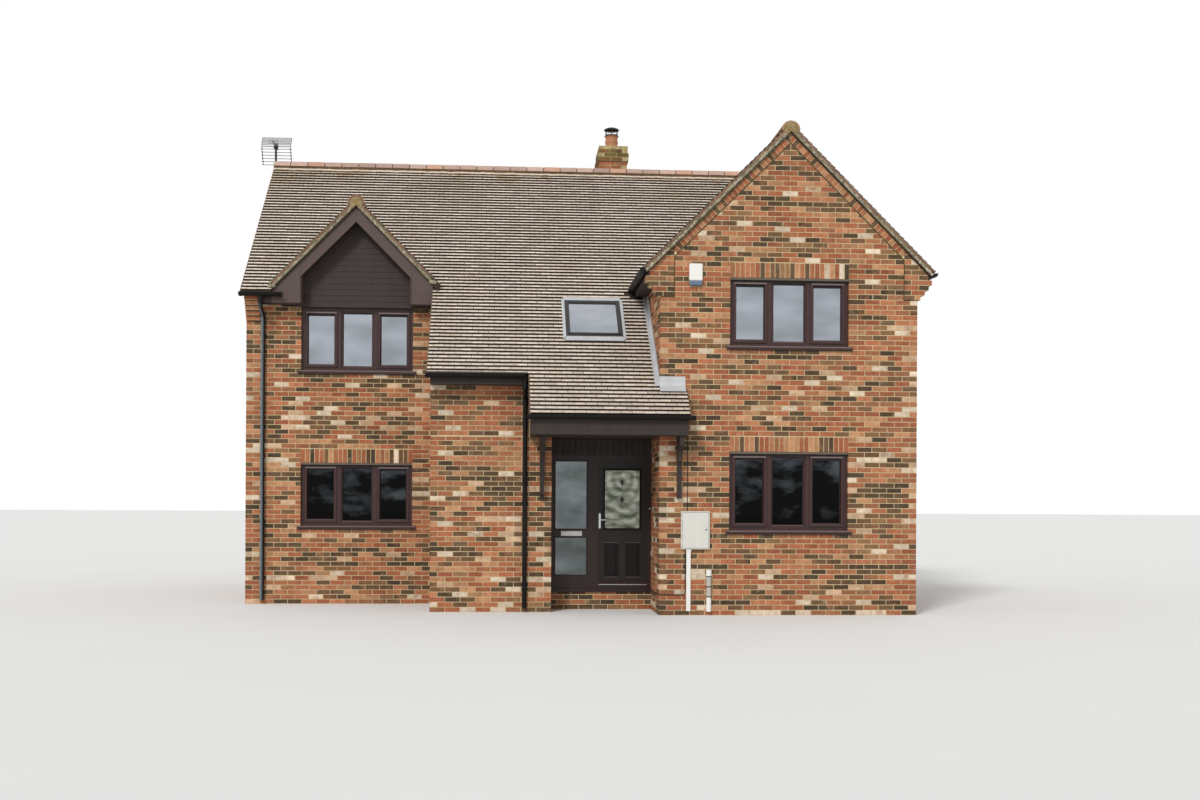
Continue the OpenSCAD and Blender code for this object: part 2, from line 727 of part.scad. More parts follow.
// Lever handle on its long plate
module door_handle() color("#d0d0d0") {
  block(handle_x - plate_w / 2, handle_x + plate_w / 2, leaf_y - plate_t, leaf_y,
    handle_z - plate_h / 2, handle_z + plate_h / 2);
  translate([handle_x, leaf_y - plate_t, handle_z + lever_up]) rotate([90, 0, 0])
    cylinder(r = lever_r + 1, h = lever_out + lever_r + 1 - plate_t, $fn = 32);
  translate([handle_x, leaf_y - lever_out, handle_z + lever_up]) rotate([0, 90, 0])
    cylinder(r = lever_r, h = lever_l, $fn = 32);
}

// Chimney
module chimney_shaft()
  block(chimney_x0, chimney_x1, chimney_y0, chimney_y1, chimney_foot_z, chimney_cap_z);
module chimney_course(out, z0, z1)
  block(chimney_x0 - out, chimney_x1 + out, chimney_y0 - out, chimney_y1 + out, z0, z1);
module chimney_stack() color(brick) difference() {
  union() {
    chimney_shaft();
    chimney_course(25, chimney_cap_z, chimney_cap_z + 2 * course);
    chimney_course(12, chimney_cap_z + 2 * course, chimney_top_z);
  }
  translate([chimney_mid_x, chimney_mid_y, chimney_foot_z + 200]) cylinder(r = 95, h = far, $fn = 48);
}
// Hollow pot with a roll, and a cowl on four legs
module chimney_pot() color("#b5644a") translate([chimney_mid_x, chimney_mid_y, chimney_top_z]) {
  rotate_extrude($fn = 48) polygon([[95, 0], [pot_r, 0], [pot_r, 165], [pot_r + 8, 172],
    [pot_r + 8, 195], [pot_r, 202], [pot_r, pot_h - 30], [pot_r + 15, pot_h - 22],
    [pot_r + 15, pot_h], [95, pot_h]]);
  for (a = [0:90:270]) rotate([0, 0, a + 45]) block(96, 108, -8, 8, pot_h, pot_h + 95);
  translate([0, 0, pot_h + 95]) cylinder(r = pot_r + 26, h = 14, $fn = 48);
  translate([0, 0, pot_h + 109]) cylinder(r1 = pot_r + 26, r2 = 60, h = 50, $fn = 48);
}

// Gutters and downpipes
module gutter_section() difference() {
  circle(r = gutter_r, $fn = 48);
  circle(r = gutter_r - gutter_t, $fn = 48);
  translate([-gutter_r - 5, 0]) square([2 * gutter_r + 10, gutter_r + 5]);
}
module stop_end() difference() {
  circle(r = gutter_r, $fn = 48);
  translate([-gutter_r - 5, 0]) square([2 * gutter_r + 10, gutter_r + 5]);
}
function rim_z(y_edge) = main_z(y_edge) - main_lip - 10;
module gutter(x0, x1, y_edge) translate([0, y_edge + lip - gutter_out, rim_z(y_edge)]) {
  run_x(x0, x1) gutter_section();
  run_x(x0 - gutter_t, x0) stop_end();
  run_x(x1, x1 + gutter_t) stop_end();
}
module wing_gutter(y1) {
  d = wing_w / 2 + wing_eaves;
  translate([d - lip + gutter_out, 0, wing_z(d) - wing_lip - 10]) {
    run_y(y_front - verge, y1) gutter_section();
    run_y(y_front - verge - gutter_t, y_front - verge) stop_end();
    run_y(y1, y1 + gutter_t) stop_end();
  }
}
// Neck of an offset pipe, from one point to another in a plane of constant X
module neck(x, y0, z0, y1, z1) translate([x, y0, z0]) rotate([atan2(y0 - y1, z1 - z0), 0, 0])
  cylinder(r = pipe_r - 3, h = norm([y1 - y0, z1 - z0]), $fn = 32);
// Downpipe on clips, with a neck from the gutter's outlet back to the wall
module downpipe(x, y_wall) {
  y = y_wall - pipe_off;
  y_edge = y_wall - eaves;
  y_gutter = y_edge + lip - gutter_out;
  z_outlet = main_z(y_edge + lip) - main_lip - fascia_h - pipe_r - 10;
  z_top = z_outlet - abs(y - y_gutter) * 0.6;
  translate([x, y, pipe_foot_z]) cylinder(r = pipe_r, h = z_top + 30 - pipe_foot_z, $fn = 32);
  for (z = [z_top - 60, (z_top + pipe_foot_z) / 2])
    translate([x, y, z]) cylinder(r = pipe_r + 5, h = 60, $fn = 32);
  neck(x, y, z_top, y_gutter, z_outlet);
  translate([x, y_gutter, z_outlet - 30])
    cylinder(r = pipe_r, h = rim_z(y_edge) - gutter_r + 38 - z_outlet, $fn = 32);
  for (z = [400, z_top - 300]) block(x - 45, x + 45, y, y_wall, z, z + 25);
}
module gutters_and_pipes() color(plastic) {
  gutter(x_left - verge - gutter_past, x_left + left_gutter_w, y_left_eaves);
  gutter(x_canopy - 2 * gutter_past, x_canopy_right + 70, y_canopy);
  gutter(x_step - verge - gutter_past, x_canopy - 3 * gutter_past, y_mid_eaves);
  wing_side(-1) wing_gutter(y_left_eaves + 45);
  wing_side(1) wing_gutter(y_left_eaves);
  downpipe(left_pipe_x, y_left);
  downpipe(mid_pipe_x, y_mid);
  translate([0, 2 * y_ridge, 0]) mirror([0, 1, 0]) {
    gutter(x_left - verge - gutter_past, x_right + verge + gutter_past, y_left_eaves);
    downpipe(x_left + rear_pipe_in, y_left);
    downpipe(x_right - rear_pipe_in, y_left);
  }
}

// Fittings
module meter_box() color("#e8e2d0") {
  y_box = y_front - meter_out;
  block(meter_x, meter_x + meter_w, y_box, y_front, meter_z, meter_z + meter_h);
  block(meter_x + meter_rim, meter_x + meter_w - meter_rim, y_box - 8, y_box,
    meter_z + meter_rim, meter_z + meter_h - meter_rim);
  block(duct_x, duct_x + duct_w, y_front - duct_out, y_front, pipe_foot_z, meter_z);
  block(pipe_cover_x, pipe_cover_x + pipe_cover_w, y_front - 60, y_front, pipe_foot_z,
    pipe_cover_z);
}
module alarm_box() color("#f0eee8") {
  block(alarm_x, alarm_x + alarm_w, y_front - alarm_out, y_front, alarm_z + alarm_base_h,
    alarm_z + alarm_h);
  block(alarm_x + 12, alarm_x + alarm_w - 12, y_front - alarm_out + 12, y_front, alarm_z,
    alarm_z + alarm_base_h);
}
// Aerial: a short mast on the ridge, a boom from front to back and two banks of rods
module aerial_bank(z, dz, n) for (i = [0:n - 1])
  translate([mast_x - rod_half, y_ridge + 30 + i * rod_pitch, z + i * dz]) rotate([0, 90, 0])
    cylinder(r = rod_r, h = 2 * rod_half, $fn = 16);
module aerial() color("#8c8c8c") difference() {
  union() {
    translate([mast_x, y_ridge, ridge_z + 60]) cylinder(r = mast_r, h = boom_z - ridge_z, $fn = 24);
    block(mast_x - boom_half, mast_x + boom_half, y_ridge - 420, y_ridge + 240,
      boom_z - boom_half, boom_z + boom_half);
    aerial_bank(boom_z - 45, -50, 6);
    aerial_bank(boom_z + 35, 38, 5);
    for (x = [mast_x - rod_half + 3, mast_x + rod_half - 15]) run_x(x, x + 12)
      polygon([[y_ridge + 20, boom_z + 30], [y_ridge + 150, boom_z + 195],
        [y_ridge + 158, boom_z + 185], [y_ridge + 32, boom_z], [y_ridge + 180, boom_z - 300],
        [y_ridge + 170, boom_z - 305], [y_ridge + 20, boom_z - 20]]);
    block(mast_x - rod_half, mast_x + rod_half, y_ridge + 14, y_ridge + 30,
      boom_z - 8, boom_z + 8);
    for (i = [0:3]) block(mast_x - 90, mast_x + 90, y_ridge - 400 + i * 100,
      y_ridge - 392 + i * 100, boom_z - 4, boom_z + 4);
  }
  main_ridge();
}

ground_floor();
first_floor();
left_gable_wall();
right_gable_wall();
rear_wall();
left_bay_wall();
middle_side_wall();
middle_front_wall();
wing_front_wall();
wing_left_wall();
wing_right_wall();
door_head_wall();
dormer_cladding();
main_roof_front();
main_roof_rear();
catslide_roof();
wing_roof_left();
wing_roof_right();
dormer_roof_left();
dormer_roof_right();
main_ridge();
wing_ridge();
dormer_ridge();
bargeboards();
porch_canopy();
porch_brackets();
left_lower_window();
left_upper_window();
wing_lower_window();
wing_upper_window();
rear_windows();
roof_window();
glazing_lower();
glazing_upper();
door_frame();
front_door();
door_glass();
door_handle();
chimney_stack();
chimney_pot();
gutters_and_pipes();
meter_box();
alarm_box();
aerial();
eaves_boards();
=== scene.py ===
# %% [markdown]
# # A detached brick house
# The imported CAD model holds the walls, roofs, windows and door at their real size, each as
# one plain solid. This script dresses it as a builder would finish it. Bricks and roof tiles
# are laid one by one as real geometry, because their edges and shadows have to hold up from
# any side, and the other surfaces get their finish from shader nodes. The CAD model is loaded
# first, so that every piece can be placed in its frame, in metres.

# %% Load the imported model
from math import ceil, cos, pi, radians, sin, tan

import bmesh
import bpy
import numpy as np
from mathutils import Matrix, Vector, noise


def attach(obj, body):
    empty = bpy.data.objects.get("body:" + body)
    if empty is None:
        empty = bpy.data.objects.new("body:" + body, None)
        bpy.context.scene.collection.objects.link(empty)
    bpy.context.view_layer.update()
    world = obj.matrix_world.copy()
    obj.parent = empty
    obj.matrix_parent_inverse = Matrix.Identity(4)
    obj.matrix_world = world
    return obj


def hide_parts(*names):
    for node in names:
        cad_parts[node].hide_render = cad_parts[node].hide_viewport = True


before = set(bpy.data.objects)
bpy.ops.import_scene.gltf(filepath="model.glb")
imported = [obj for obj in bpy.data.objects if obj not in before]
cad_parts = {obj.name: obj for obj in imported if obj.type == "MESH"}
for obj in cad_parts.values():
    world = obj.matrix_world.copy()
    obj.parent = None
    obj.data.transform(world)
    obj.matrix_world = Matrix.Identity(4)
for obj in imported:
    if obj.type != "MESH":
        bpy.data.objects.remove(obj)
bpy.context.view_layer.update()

scene = bpy.context.scene

# %% [markdown]
# ## The house in numbers
# The pieces that are added sit on walls and slopes whose places the CAD model already fixes,
# so the same named lines are written down once here, in metres. X runs to the right, Y to the
# back and Z up. A roof slope is known by the height of its ridge and its pitch.

# %% Lines of the walls and slopes of the roofs
x_left, x_right = -5.080, 5.080
x_wing, x_step, x_door = 1.270, -2.085, -0.290
x_wing_mid, x_dormer = 3.175, -3.340
half_wing = 1.905
y_front, y_rear = -4.035, 4.035
y_left, y_mid, y_door = -1.785, -3.435, -2.905
y_ridge = 1.125
verge = overhang = 0.045

main_pitch, wing_pitch, dormer_pitch = radians(40), radians(44.7), radians(45.5)
main_foot_z, wing_foot_z = 5.188, 5.315
ridge_z = main_foot_z + (y_rear - y_ridge) * tan(main_pitch)
wing_ridge_z = wing_foot_z + half_wing * tan(wing_pitch)
dormer_ridge_z = 6.410
wing_half, dormer_half = 2.130, 1.310
wing_roof = (x_wing_mid, wing_pitch, wing_ridge_z)
dormer_roof = (x_dormer, dormer_pitch, dormer_ridge_z)
roof_t = 0.090

canopy_left, canopy_right, canopy_z = -0.633, 1.657, 2.610
y_canopy, y_mid_eaves, y_left_eaves = -4.485, -3.730, -2.080
y_rear_eaves = y_rear + 0.295
y_dormer_front = y_left - 0.290
soffit_z = 4.757
left_pipe_x = x_left + 0.264


def main_z(y):
    """Height of the main roof's slope over a line of Y."""
    return ridge_z - abs(y - y_ridge) * tan(main_pitch)


def wing_z(d):
    """Height of the wing's slope at a distance from its ridge."""
    return wing_ridge_z - d * tan(wing_pitch)


def slab_depth(pitch):
    """Upright depth of a roof's slab at a pitch."""
    return roof_t / cos(pitch)


print("ridges:", round(ridge_z, 3), round(wing_ridge_z, 3), dormer_ridge_z)

# %% [markdown]
# ## Camera
# The photograph was taken at eye level from the drive, a little to the left of the porch, with
# the camera level and the lens shifted up. The place and the turn come from lines whose real
# positions are known, such as brick courses and the ridge. A level camera keeps the walls
# upright, so the framing is done with the lens's shift and not by tilting it.

# %% Camera
photo_width, photo_height = 1200, 800
focal_px, horizon_row = 1386.2, 498.9
eye = (-1.033, -24.135, 1.694)
heading, roll = radians(-4.07), radians(0.299)
sensor_width = 36

camera = bpy.data.objects.new("camera", bpy.data.cameras.new("camera"))
scene.collection.objects.link(camera)
camera.data.sensor_width = sensor_width
camera.data.lens = sensor_width * focal_px / photo_width
camera.data.shift_y = (horizon_row - photo_height / 2) / photo_width
camera.data.clip_end = 500
camera.matrix_world = (Matrix.Translation(eye) @ Matrix.Rotation(heading, 4, "Z")
                       @ Matrix.Rotation(radians(90), 4, "X") @ Matrix.Rotation(roll, 4, "Z"))
scene.camera = camera
print("lens", round(camera.data.lens, 2), "mm, shift", round(camera.data.shift_y, 4))

# %% [markdown]
# ## Shader helpers
# Materials are built from nodes in code. A few small helpers keep that short: each adds one
# kind of node, such as noise, a mix of two colours or a row of colours, and returns its output.
# Colours are written the way a paint chart gives them, in sRGB, and turned to the linear values
# that the shader works in.

# %% Shader helpers


def srgb(code):
    """A colour such as C98A63 as linear red, green, blue and alpha."""
    parts = [int(code[i:i + 2], 16) / 255 for i in (0, 2, 4)]
    return tuple(p / 12.92 if p <= 0.04045 else ((p + 0.055) / 1.055) ** 2.4 for p in parts) + (1,)


def put(tree, socket, value):
    """Sets an input to a value, or links another node's output to it."""
    if isinstance(value, bpy.types.NodeSocket):
        tree.links.new(value, socket)
    else:
        socket.default_value = value


def add(tree, kind, inputs=(), **settings):
    """Adds a shader node; its inputs are given by name or by number."""
    made = tree.nodes.new("ShaderNode" + kind)
    for name, value in settings.items():
        setattr(made, name, value)
    for name, value in dict(inputs).items():
        put(tree, made.inputs[name], value)
    return made


def mix(tree, factor, first, second, blend="MIX"):
    """Mixes two colours and returns the output."""
    made = add(tree, "Mix", {0: factor, 6: first, 7: second}, data_type="RGBA", blend_type=blend)
    return made.outputs[2]


def calc(tree, operation, *values):
    """A number worked out from one to three others."""
    return add(tree, "Math", dict(enumerate(values)), operation=operation).outputs[0]


def times(tree, first, second):
    """One number multiplied by another."""
    return calc(tree, "MULTIPLY", first, second)


def scaled(tree, colour, amount):
    """A colour made lighter or darker by a factor."""
    return add(tree, "VectorMath", {0: colour, "Scale": amount}, operation="SCALE").outputs[0]


def span(tree, value, low, high):
    """Spreads the values between low and high over 0 to 1."""
    return add(tree, "MapRange", {0: value, 1: low, 2: high}).outputs[0]


def ramp(tree, factor, stops, steps=False):
    """A row of colours along 0 to 1, blended or in steps."""
    made = add(tree, "ValToRGB", {0: factor})
    made.color_ramp.interpolation = "CONSTANT" if steps else "LINEAR"
    elements = made.color_ramp.elements
    while len(elements) > 1:
        elements.remove(elements[-1])
    elements[0].position = stops[0][0]
    elements[0].color = srgb(stops[0][1])
    for position, code in stops[1:]:
        elements.new(position).color = srgb(code)
    return made.outputs[0]


def cloud(tree, vector, scale, detail=4, roughness=0.55):
    """Noise between 0 and 1 over a vector."""
    inputs = {"Vector": vector, "Scale": scale, "Detail": detail, "Roughness": roughness}
    return add(tree, "TexNoise", inputs).outputs[0]


def place(tree, scale=(1, 1, 1), shift=(0, 0, 0)):
    """The piece's own coordinates, stretched or shifted."""
    coordinates = add(tree, "TexCoord").outputs["Object"]
    return add(tree, "Mapping", {0: coordinates, 1: shift, 3: scale}).outputs[0]


def coordinate(tree, axis):
    """One of the piece's own coordinates: 0, 1 or 2 for X, Y or Z."""
    return add(tree, "SeparateXYZ", {0: place(tree)}).outputs[axis]


def attribute(tree, name):
    """A number that the mesh stores for each brick or tile."""
    return add(tree, "Attribute", attribute_name=name).outputs["Fac"]


def new_material(name, **values):
    """A material with its Principled shader; plain values go straight to its sockets."""
    made = bpy.data.materials.new(name)
    made.use_nodes = True
    shader = made.node_tree.nodes["Principled BSDF"]
    for socket, value in values.items():
        shader.inputs[socket.replace("_", " ")].default_value = value
    return made, made.node_tree, shader


def bump(tree, shader, height, distance, strength=1.0):
    """Lets a height raise and sink the surface of a shader."""
    made = add(tree, "Bump", {"Strength": strength, "Distance": distance, "Height": height})
    tree.links.new(made.outputs[0], shader.inputs["Normal"])


# %% [markdown]
# ## Two effects that many finishes share
# Weather leaves soft blotches, fine grit and dark runs on brick, tile, mortar and board alike,
# and lichen and moss settle in spots. Each is a node group with named sockets, built once and
# placed in each material with its own amounts, so that the whole house ages in one way.

# %% Node group: weather


def new_group(name, inputs, outputs):
    """A shader node group and its input and output nodes."""
    group = bpy.data.node_groups.new(name, "ShaderNodeTree")
    for label, kind, value in inputs:
        socket = group.interface.new_socket(label, in_out="INPUT", socket_type="NodeSocket" + kind)
        socket.default_value = value
    for label, kind in outputs:
        group.interface.new_socket(label, in_out="OUTPUT", socket_type="NodeSocket" + kind)
    return group, group.nodes.new("NodeGroupInput").outputs, group.nodes.new("NodeGroupOutput")


weather, given, out = new_group(
    "weather",
    [("Color", "Color", (0.5, 0.5, 0.5, 1)), ("Blotches", "Float", 0.3), ("Grit", "Float", 0.3),
     ("Grit Scale", "Float", 90.0)],
    [("Color", "Color"), ("Height", "Float")],
)
broad = cloud(weather, place(weather), 1.3, 5, 0.6)
runs = cloud(weather, place(weather, (5, 5, 0.5)), 1.6, 4)
grit = cloud(weather, place(weather), given["Grit Scale"], 3, 0.7)
dull = span(weather, calc(weather, "ADD", broad, runs), 0.75, 1.25)
soiled = mix(weather, times(weather, dull, given["Blotches"]), given["Color"], srgb("4A443A"))
speck = times(weather, calc(weather, "SUBTRACT", grit, 0.5), given["Grit"])
shade = calc(weather, "ADD", 1.0, times(weather, speck, 2.0))
put(weather, out.inputs["Color"], scaled(weather, soiled, shade))
put(weather, out.inputs["Height"], grit)
print("weather group:", len(weather.nodes), "nodes")

# %% Node group: lichen
lichen, given, out = new_group(
    "lichen",
    [("Color", "Color", (0.5, 0.5, 0.5, 1)), ("Amount", "Float", 0.5),
     ("Yellow", "Float", 0.5)],
    [("Color", "Color")],
)
zones = cloud(lichen, place(lichen), 1.1, 2)
coarse = span(lichen, cloud(lichen, place(lichen), 22, 3, 0.6), 0.56, 0.66)
spread = times(lichen, coarse, span(lichen, zones, 0.4, 0.62))
grey = mix(lichen, times(lichen, spread, given["Amount"]), given["Color"], srgb("A9A684"))
fine = span(lichen, cloud(lichen, place(lichen), 34, 2, 0.6), 0.56, 0.63)
gold = times(lichen, fine, span(lichen, zones, 0.35, 0.55))
put(lichen, out.inputs["Color"],
    mix(lichen, times(lichen, gold, given["Yellow"]), grey, srgb("C79A35")))
print("lichen group:", len(lichen.nodes), "nodes")


def grouped(tree, group, **values):
    """Places a node group in a material, its inputs given by name."""
    made = tree.nodes.new("ShaderNodeGroup")
    made.node_tree = group
    for name, value in values.items():
        put(tree, made.inputs[name.replace("_", " ")], value)
    return made.outputs


# %% [markdown]
# ## Floor, background and light
# The house stands on a plain pale floor in front of a plain white background. One broad, soft
# sun from the front left stands for the bright sky of the photograph, and an even world fills
# the shadows. Together they light a wall about as strongly as its own colour is written. The
# camera, reflections and glass see the background at a plain white through Light Path, which
# adds no light to the house.

# %% Stage and light
sky_level, sun_level = 0.62, 1.75
floor_half = 150

world = bpy.data.worlds.new("studio")
scene.world = world
world.use_nodes = True
tree = world.node_tree
background = tree.nodes["Background"]
path = add(tree, "LightPath").outputs
seen = calc(tree, "MAXIMUM", path["Is Camera Ray"],
            calc(tree, "MAXIMUM", path["Is Glossy Ray"], path["Is Transmission Ray"]))
put(tree, background.inputs["Color"], (1, 1, 1, 1))
put(tree, background.inputs["Strength"],
    calc(tree, "ADD", sky_level, times(tree, seen, 1 - sky_level)))

sun = bpy.data.objects.new("sun", bpy.data.lights.new("sun", "SUN"))
scene.collection.objects.link(sun)
sun.data.energy = sun_level
sun.data.angle = radians(12)
sun.rotation_euler = (radians(52), 0, radians(-28))

pale, tree, shader = new_material("pale_floor", Roughness=0.9)
put(tree, shader.inputs["Base Color"],
    mix(tree, cloud(tree, place(tree), 0.4), (0.78, 0.78, 0.77, 1), (0.82, 0.82, 0.81, 1)))
plane = bmesh.new()
bmesh.ops.create_grid(plane, x_segments=1, y_segments=1, size=floor_half)
floor = bpy.data.objects.new("floor", bpy.data.meshes.new("floor"))
plane.to_mesh(floor.data)
plane.free()
scene.collection.objects.link(floor)
floor.data.materials.append(pale)
scene.view_settings.view_transform = "Standard"
print("stage set: sky", sky_level, "sun", sun_level)

# %% [markdown]
# ## Brick and mortar
# The house is built of a mixed facing brick: mostly orange-red, about a fifth burnt dark brown
# and a few nearly cream. A brick keeps one colour over its whole face, so each brick carries a
# random number, pick, that chooses its kind, and a second one, tone, that makes it lighter or
# darker. Noise adds the blotches within a brick. The mortar is the CAD wall itself, a sandy
# buff that lies a few millimetres behind the bricks.

# %% Material: brick


def brick_material(name, colours, moss=0.0):
    """A mixed facing brick; the colours come as where they start and their code."""
    made, tree, shader = new_material(name, Roughness=0.88, Specular_IOR_Level=0.2)
    pick, tone = attribute(tree, "pick"), attribute(tree, "tone")
    kinds = ramp(tree, pick, colours, steps=True)
    apart = add(tree, "VectorMath", {0: place(tree), 1: times(tree, pick, 40.0)},
                operation="ADD").outputs[0]
    mottle = span(tree, cloud(tree, apart, 11, 4, 0.6), 0.35, 0.7)
    darker = mix(tree, 1.0, kinds, srgb("A8988A"), "MULTIPLY")
    body = mix(tree, times(tree, mottle, 0.5), kinds, darker)
    flash = span(tree, cloud(tree, apart, 4.5, 3), 0.56, 0.66)
    flashed = mix(tree, times(tree, flash, 0.5), body, srgb("A06A47"))
    bloom = span(tree, cloud(tree, apart, 7, 4, 0.7), 0.6, 0.8)
    limed = mix(tree, times(tree, bloom, 0.4), flashed, srgb("D3BB98"))
    toned = scaled(tree, limed, calc(tree, "ADD", 0.84, times(tree, tone, 0.34)))
    green = span(tree, cloud(tree, place(tree), 5, 4), 0.4, 0.62)
    mossy = mix(tree, times(tree, green, moss), toned, srgb("78713F"))
    aged = grouped(tree, weather, Color=mossy, Blotches=0.10, Grit=0.22, Grit_Scale=70.0)
    put(tree, shader.inputs["Base Color"], aged["Color"])
    bump(tree, shader, calc(tree, "ADD", aged["Height"], mottle), 0.0015, 0.6)
    return made


house_bricks = [
    (0.00, "B06C4C"), (0.11, "BA7B58"), (0.22, "A46246"), (0.31, "C3916A"), (0.39, "AE7252"),
    (0.47, "A36F50"), (0.54, "604D39"), (0.63, "6F5741"), (0.72, "534535"), (0.785, "7D5F44"),
    (0.85, "967150"), (0.90, "E3D1B9"), (0.955, "D3B293")]
cap_bricks = [(0.0, "80593C"), (0.3, "685038"), (0.55, "925F42"), (0.8, "54442F")]
brick = brick_material("brick", house_bricks)
mossy_brick = brick_material("mossy_brick", cap_bricks, 0.6)

# %% Material: mortar
mortar, tree, shader = new_material("mortar", Roughness=0.95, Specular_IOR_Level=0.15)
sand = mix(tree, cloud(tree, place(tree), 9, 4), srgb("C8B084"), srgb("DECBA2"))
aged = grouped(tree, weather, Color=sand, Blotches=0.18, Grit=0.3, Grit_Scale=140.0)
put(tree, shader.inputs["Base Color"], aged["Color"])
bump(tree, shader, aged["Height"], 0.002, 0.7)
print("brick kinds:", len(house_bricks))

# %% [markdown]
# ## Roof
# The tiles are small plain clay tiles, beige and grey with age, with olive and gold lichen near
# the ridge. From the ground the dark line under each course is as broad as the pale face above
# it. So the shader paints shade, with some dirt, on the strip that the next course shelters,
# which it finds by rise, a number that grows up each tile, and on the tile's lower edge, which
# the mesh marks as edge. The CAD slab below shows only in the joints, dark partly as felt and
# battens and partly as painted shade.

# %% Material: roof tile and ridge tile
slope_run, slope_courses = 5.610, 76
gauge = slope_run / cos(main_pitch) / slope_courses


def tile_material(name, colours, shade_and_dirt, edge_shade_and_dirt, moss, yellow, growth=1.0):
    """Weathered clay with painted shade and some dirt: on the strip that the next course shelters,
    and on the tail.

    Towards the main ridge the strips grow broader, and growth turns the tiles olive and gold.
    """
    made, tree, shader = new_material(name, Roughness=0.85, Specular_IOR_Level=0.25)
    pick, tone = attribute(tree, "pick"), attribute(tree, "tone")
    kinds = ramp(tree, pick, [(i / len(colours), code) for i, code in enumerate(colours)], True)
    stain = span(tree, cloud(tree, place(tree), 16, 4, 0.65), 0.4, 0.75)
    stained = mix(tree, times(tree, stain, 0.28), kinds, srgb("7A6A5E"))
    height = coordinate(tree, 2)
    light = calc(tree, "ADD", times(tree, tone, 0.16),
                 calc(tree, "ADD", 0.48, times(tree, height, 0.1)))
    toned = scaled(tree, stained, light)
    zone = span(tree, cloud(tree, place(tree), 0.6, 2), 0.42, 0.6)
    olive = times(tree, span(tree, height, ridge_z - 1.0, ridge_z - 0.15), zone)
    grown = mix(tree, times(tree, olive, 0.5 * growth), toned, srgb("CDB78E"))
    patch = span(tree, cloud(tree, place(tree), 2.6, 3, 0.6), 0.55, 0.63)
    crust = times(tree, patch, span(tree, height, ridge_z - 0.45, ridge_z - 0.12))
    crusted = mix(tree, times(tree, crust, 0.5 * growth), grown, srgb("C08A2C"))
    mossy = grouped(tree, lichen, Color=crusted, Amount=moss, Yellow=yellow)
    aged = grouped(tree, weather, Color=mossy["Color"], Blotches=0.12, Grit=0.2, Grit_Scale=60.0)
    # Painted shade with some dirt, in dark brown: the strip that the next course shelters, which
    # broadens towards the ridge, and the tile's tail.
    reach = calc(tree, "ADD", attribute(tree, "rise"), times(tree, height, 0.0062))
    strip_shade = times(tree, span(tree, reach, gauge - 0.0175, gauge - 0.0045), shade_and_dirt)
    shaded_tile = mix(tree, strip_shade, aged["Color"], srgb("21170C"))
    rimmed = mix(tree, times(tree, attribute(tree, "edge"), edge_shade_and_dirt), shaded_tile, srgb("1F150B"))
    put(tree, shader.inputs["Base Color"], rimmed)
    bump(tree, shader, aged["Height"], 0.001, 0.5)
    return made


clay = ["ECDCCB", "F2E3D3", "E3D4C4", "F4E6D5", "E8D7C8", "EFDFD1", "DDCEBF"]
ridge_clays = ["A98E82", "B59A8E", "9E8478", "B48D79", "A58C80"]
edge_clays = ["8A6650", "7C604C", "96745C", "786652"]
tile = tile_material("roof_tile", clay, 0.97, 0.97, 0.4, 0.45)
ridge_clay = tile_material("ridge_tile", ridge_clays, 0, 0, 0.35, 0.1, 0.0)
tile_edge = tile_material("tile_edge", edge_clays, 0, 0.35, 0.5, 0.1, 0.3)

# %% Material: roof bed and verge


def bed_material(name, colour, light, moss, yellow=0.1, white=0.0):
    """Felt and battens, partly painted shade, mossy mortar, or a line of painted shadow."""
    made, tree, shader = new_material(name, Roughness=0.95, Specular_IOR_Level=0.15)
    base = mix(tree, span(tree, cloud(tree, place(tree), 14, 4), 0.3, 0.7), srgb(colour),
               srgb(light))
    spots = span(tree, cloud(tree, place(tree), 27, 3, 0.6), 0.55, 0.62)
    spotted = mix(tree, times(tree, spots, white), base, srgb("D9D4C3"))
    mossy = grouped(tree, lichen, Color=spotted, Amount=moss, Yellow=yellow)
    aged = grouped(tree, weather, Color=mossy["Color"], Blotches=0.35, Grit=0.35, Grit_Scale=80.0)
    put(tree, shader.inputs["Base Color"], aged["Color"])
    bump(tree, shader, aged["Height"], 0.003, 0.7)
    return made


# The roof bed is dark partly as felt and partly as painted shade: its sides show as the shadow
# line under the verges.
shaded_roof_bed = bed_material("shaded_roof_bed", "2E2724", "3A322C", 0.1)
verge_mortar = bed_material("verge_mortar", "6A634B", "ABA188", 0.5, 0.15, 0.75)
end_mortar = bed_material("ridge_end_mortar", "80633A", "A8946A", 0.35, 0.25, 0.3)
ridge_bed = bed_material("ridge_bed", "5A4636", "75604C", 0.3, 0.3, 0.1)
pale_bed = bed_material("pale_bed", "EFDBC2", "F9ECDB", 0.1, 0.3)
# The next bed is painted shadow, for the dark line right under the ridge tiles.
ridge_shadow_bed = bed_material("ridge_shadow_bed", "57442F", "6E573F", 0.3, 0.3)
chimney_mortar = bed_material("chimney_mortar", "A4976A", "CDBD8C", 0.6, 0.4)
cloak = bed_material("undercloak", "4C4233", "62553F", 0.4)
# The next bed is painted shadow, for the joints under the kneelers' corbelled courses.
kneeler_shadow = bed_material("kneeler_shadow", "2E1F14", "40301F", 0.05)
print("roof finishes ready")

# %% [markdown]
# ## Boards and plastic joinery
# The windows and the door frame are rosewood plastic with a printed grain and a soft sheen. The
# bargeboards, fascias and the porch are timber stained brown-mauve, which has dulled. The dormer's
# cladding, the fascias, the porch and the boards under it are darker, partly in their own stain
# and partly as painted shade. Both finishes are one group, grain: noise stretched along the board
# gives the streaks.

# %% Node group: grain
grain, given, out = new_group(
    "grain",
    [("Color", "Color", (0.1, 0.05, 0.05, 1)), ("Dark", "Color", (0.02, 0.01, 0.01, 1)),
     ("Amount", "Float", 0.5)],
    [("Color", "Color"), ("Height", "Float")],
)
fibres = cloud(grain, place(grain, (3, 60, 60)), 1.5, 5, 0.6)
upright = cloud(grain, place(grain, (60, 60, 3)), 1.5, 5, 0.6)
streak = span(grain, calc(grain, "ADD", fibres, upright), 0.8, 1.25)
put(grain, out.inputs["Color"],
    mix(grain, times(grain, streak, given["Amount"]), given["Color"], given["Dark"]))
put(grain, out.inputs["Height"], streak)


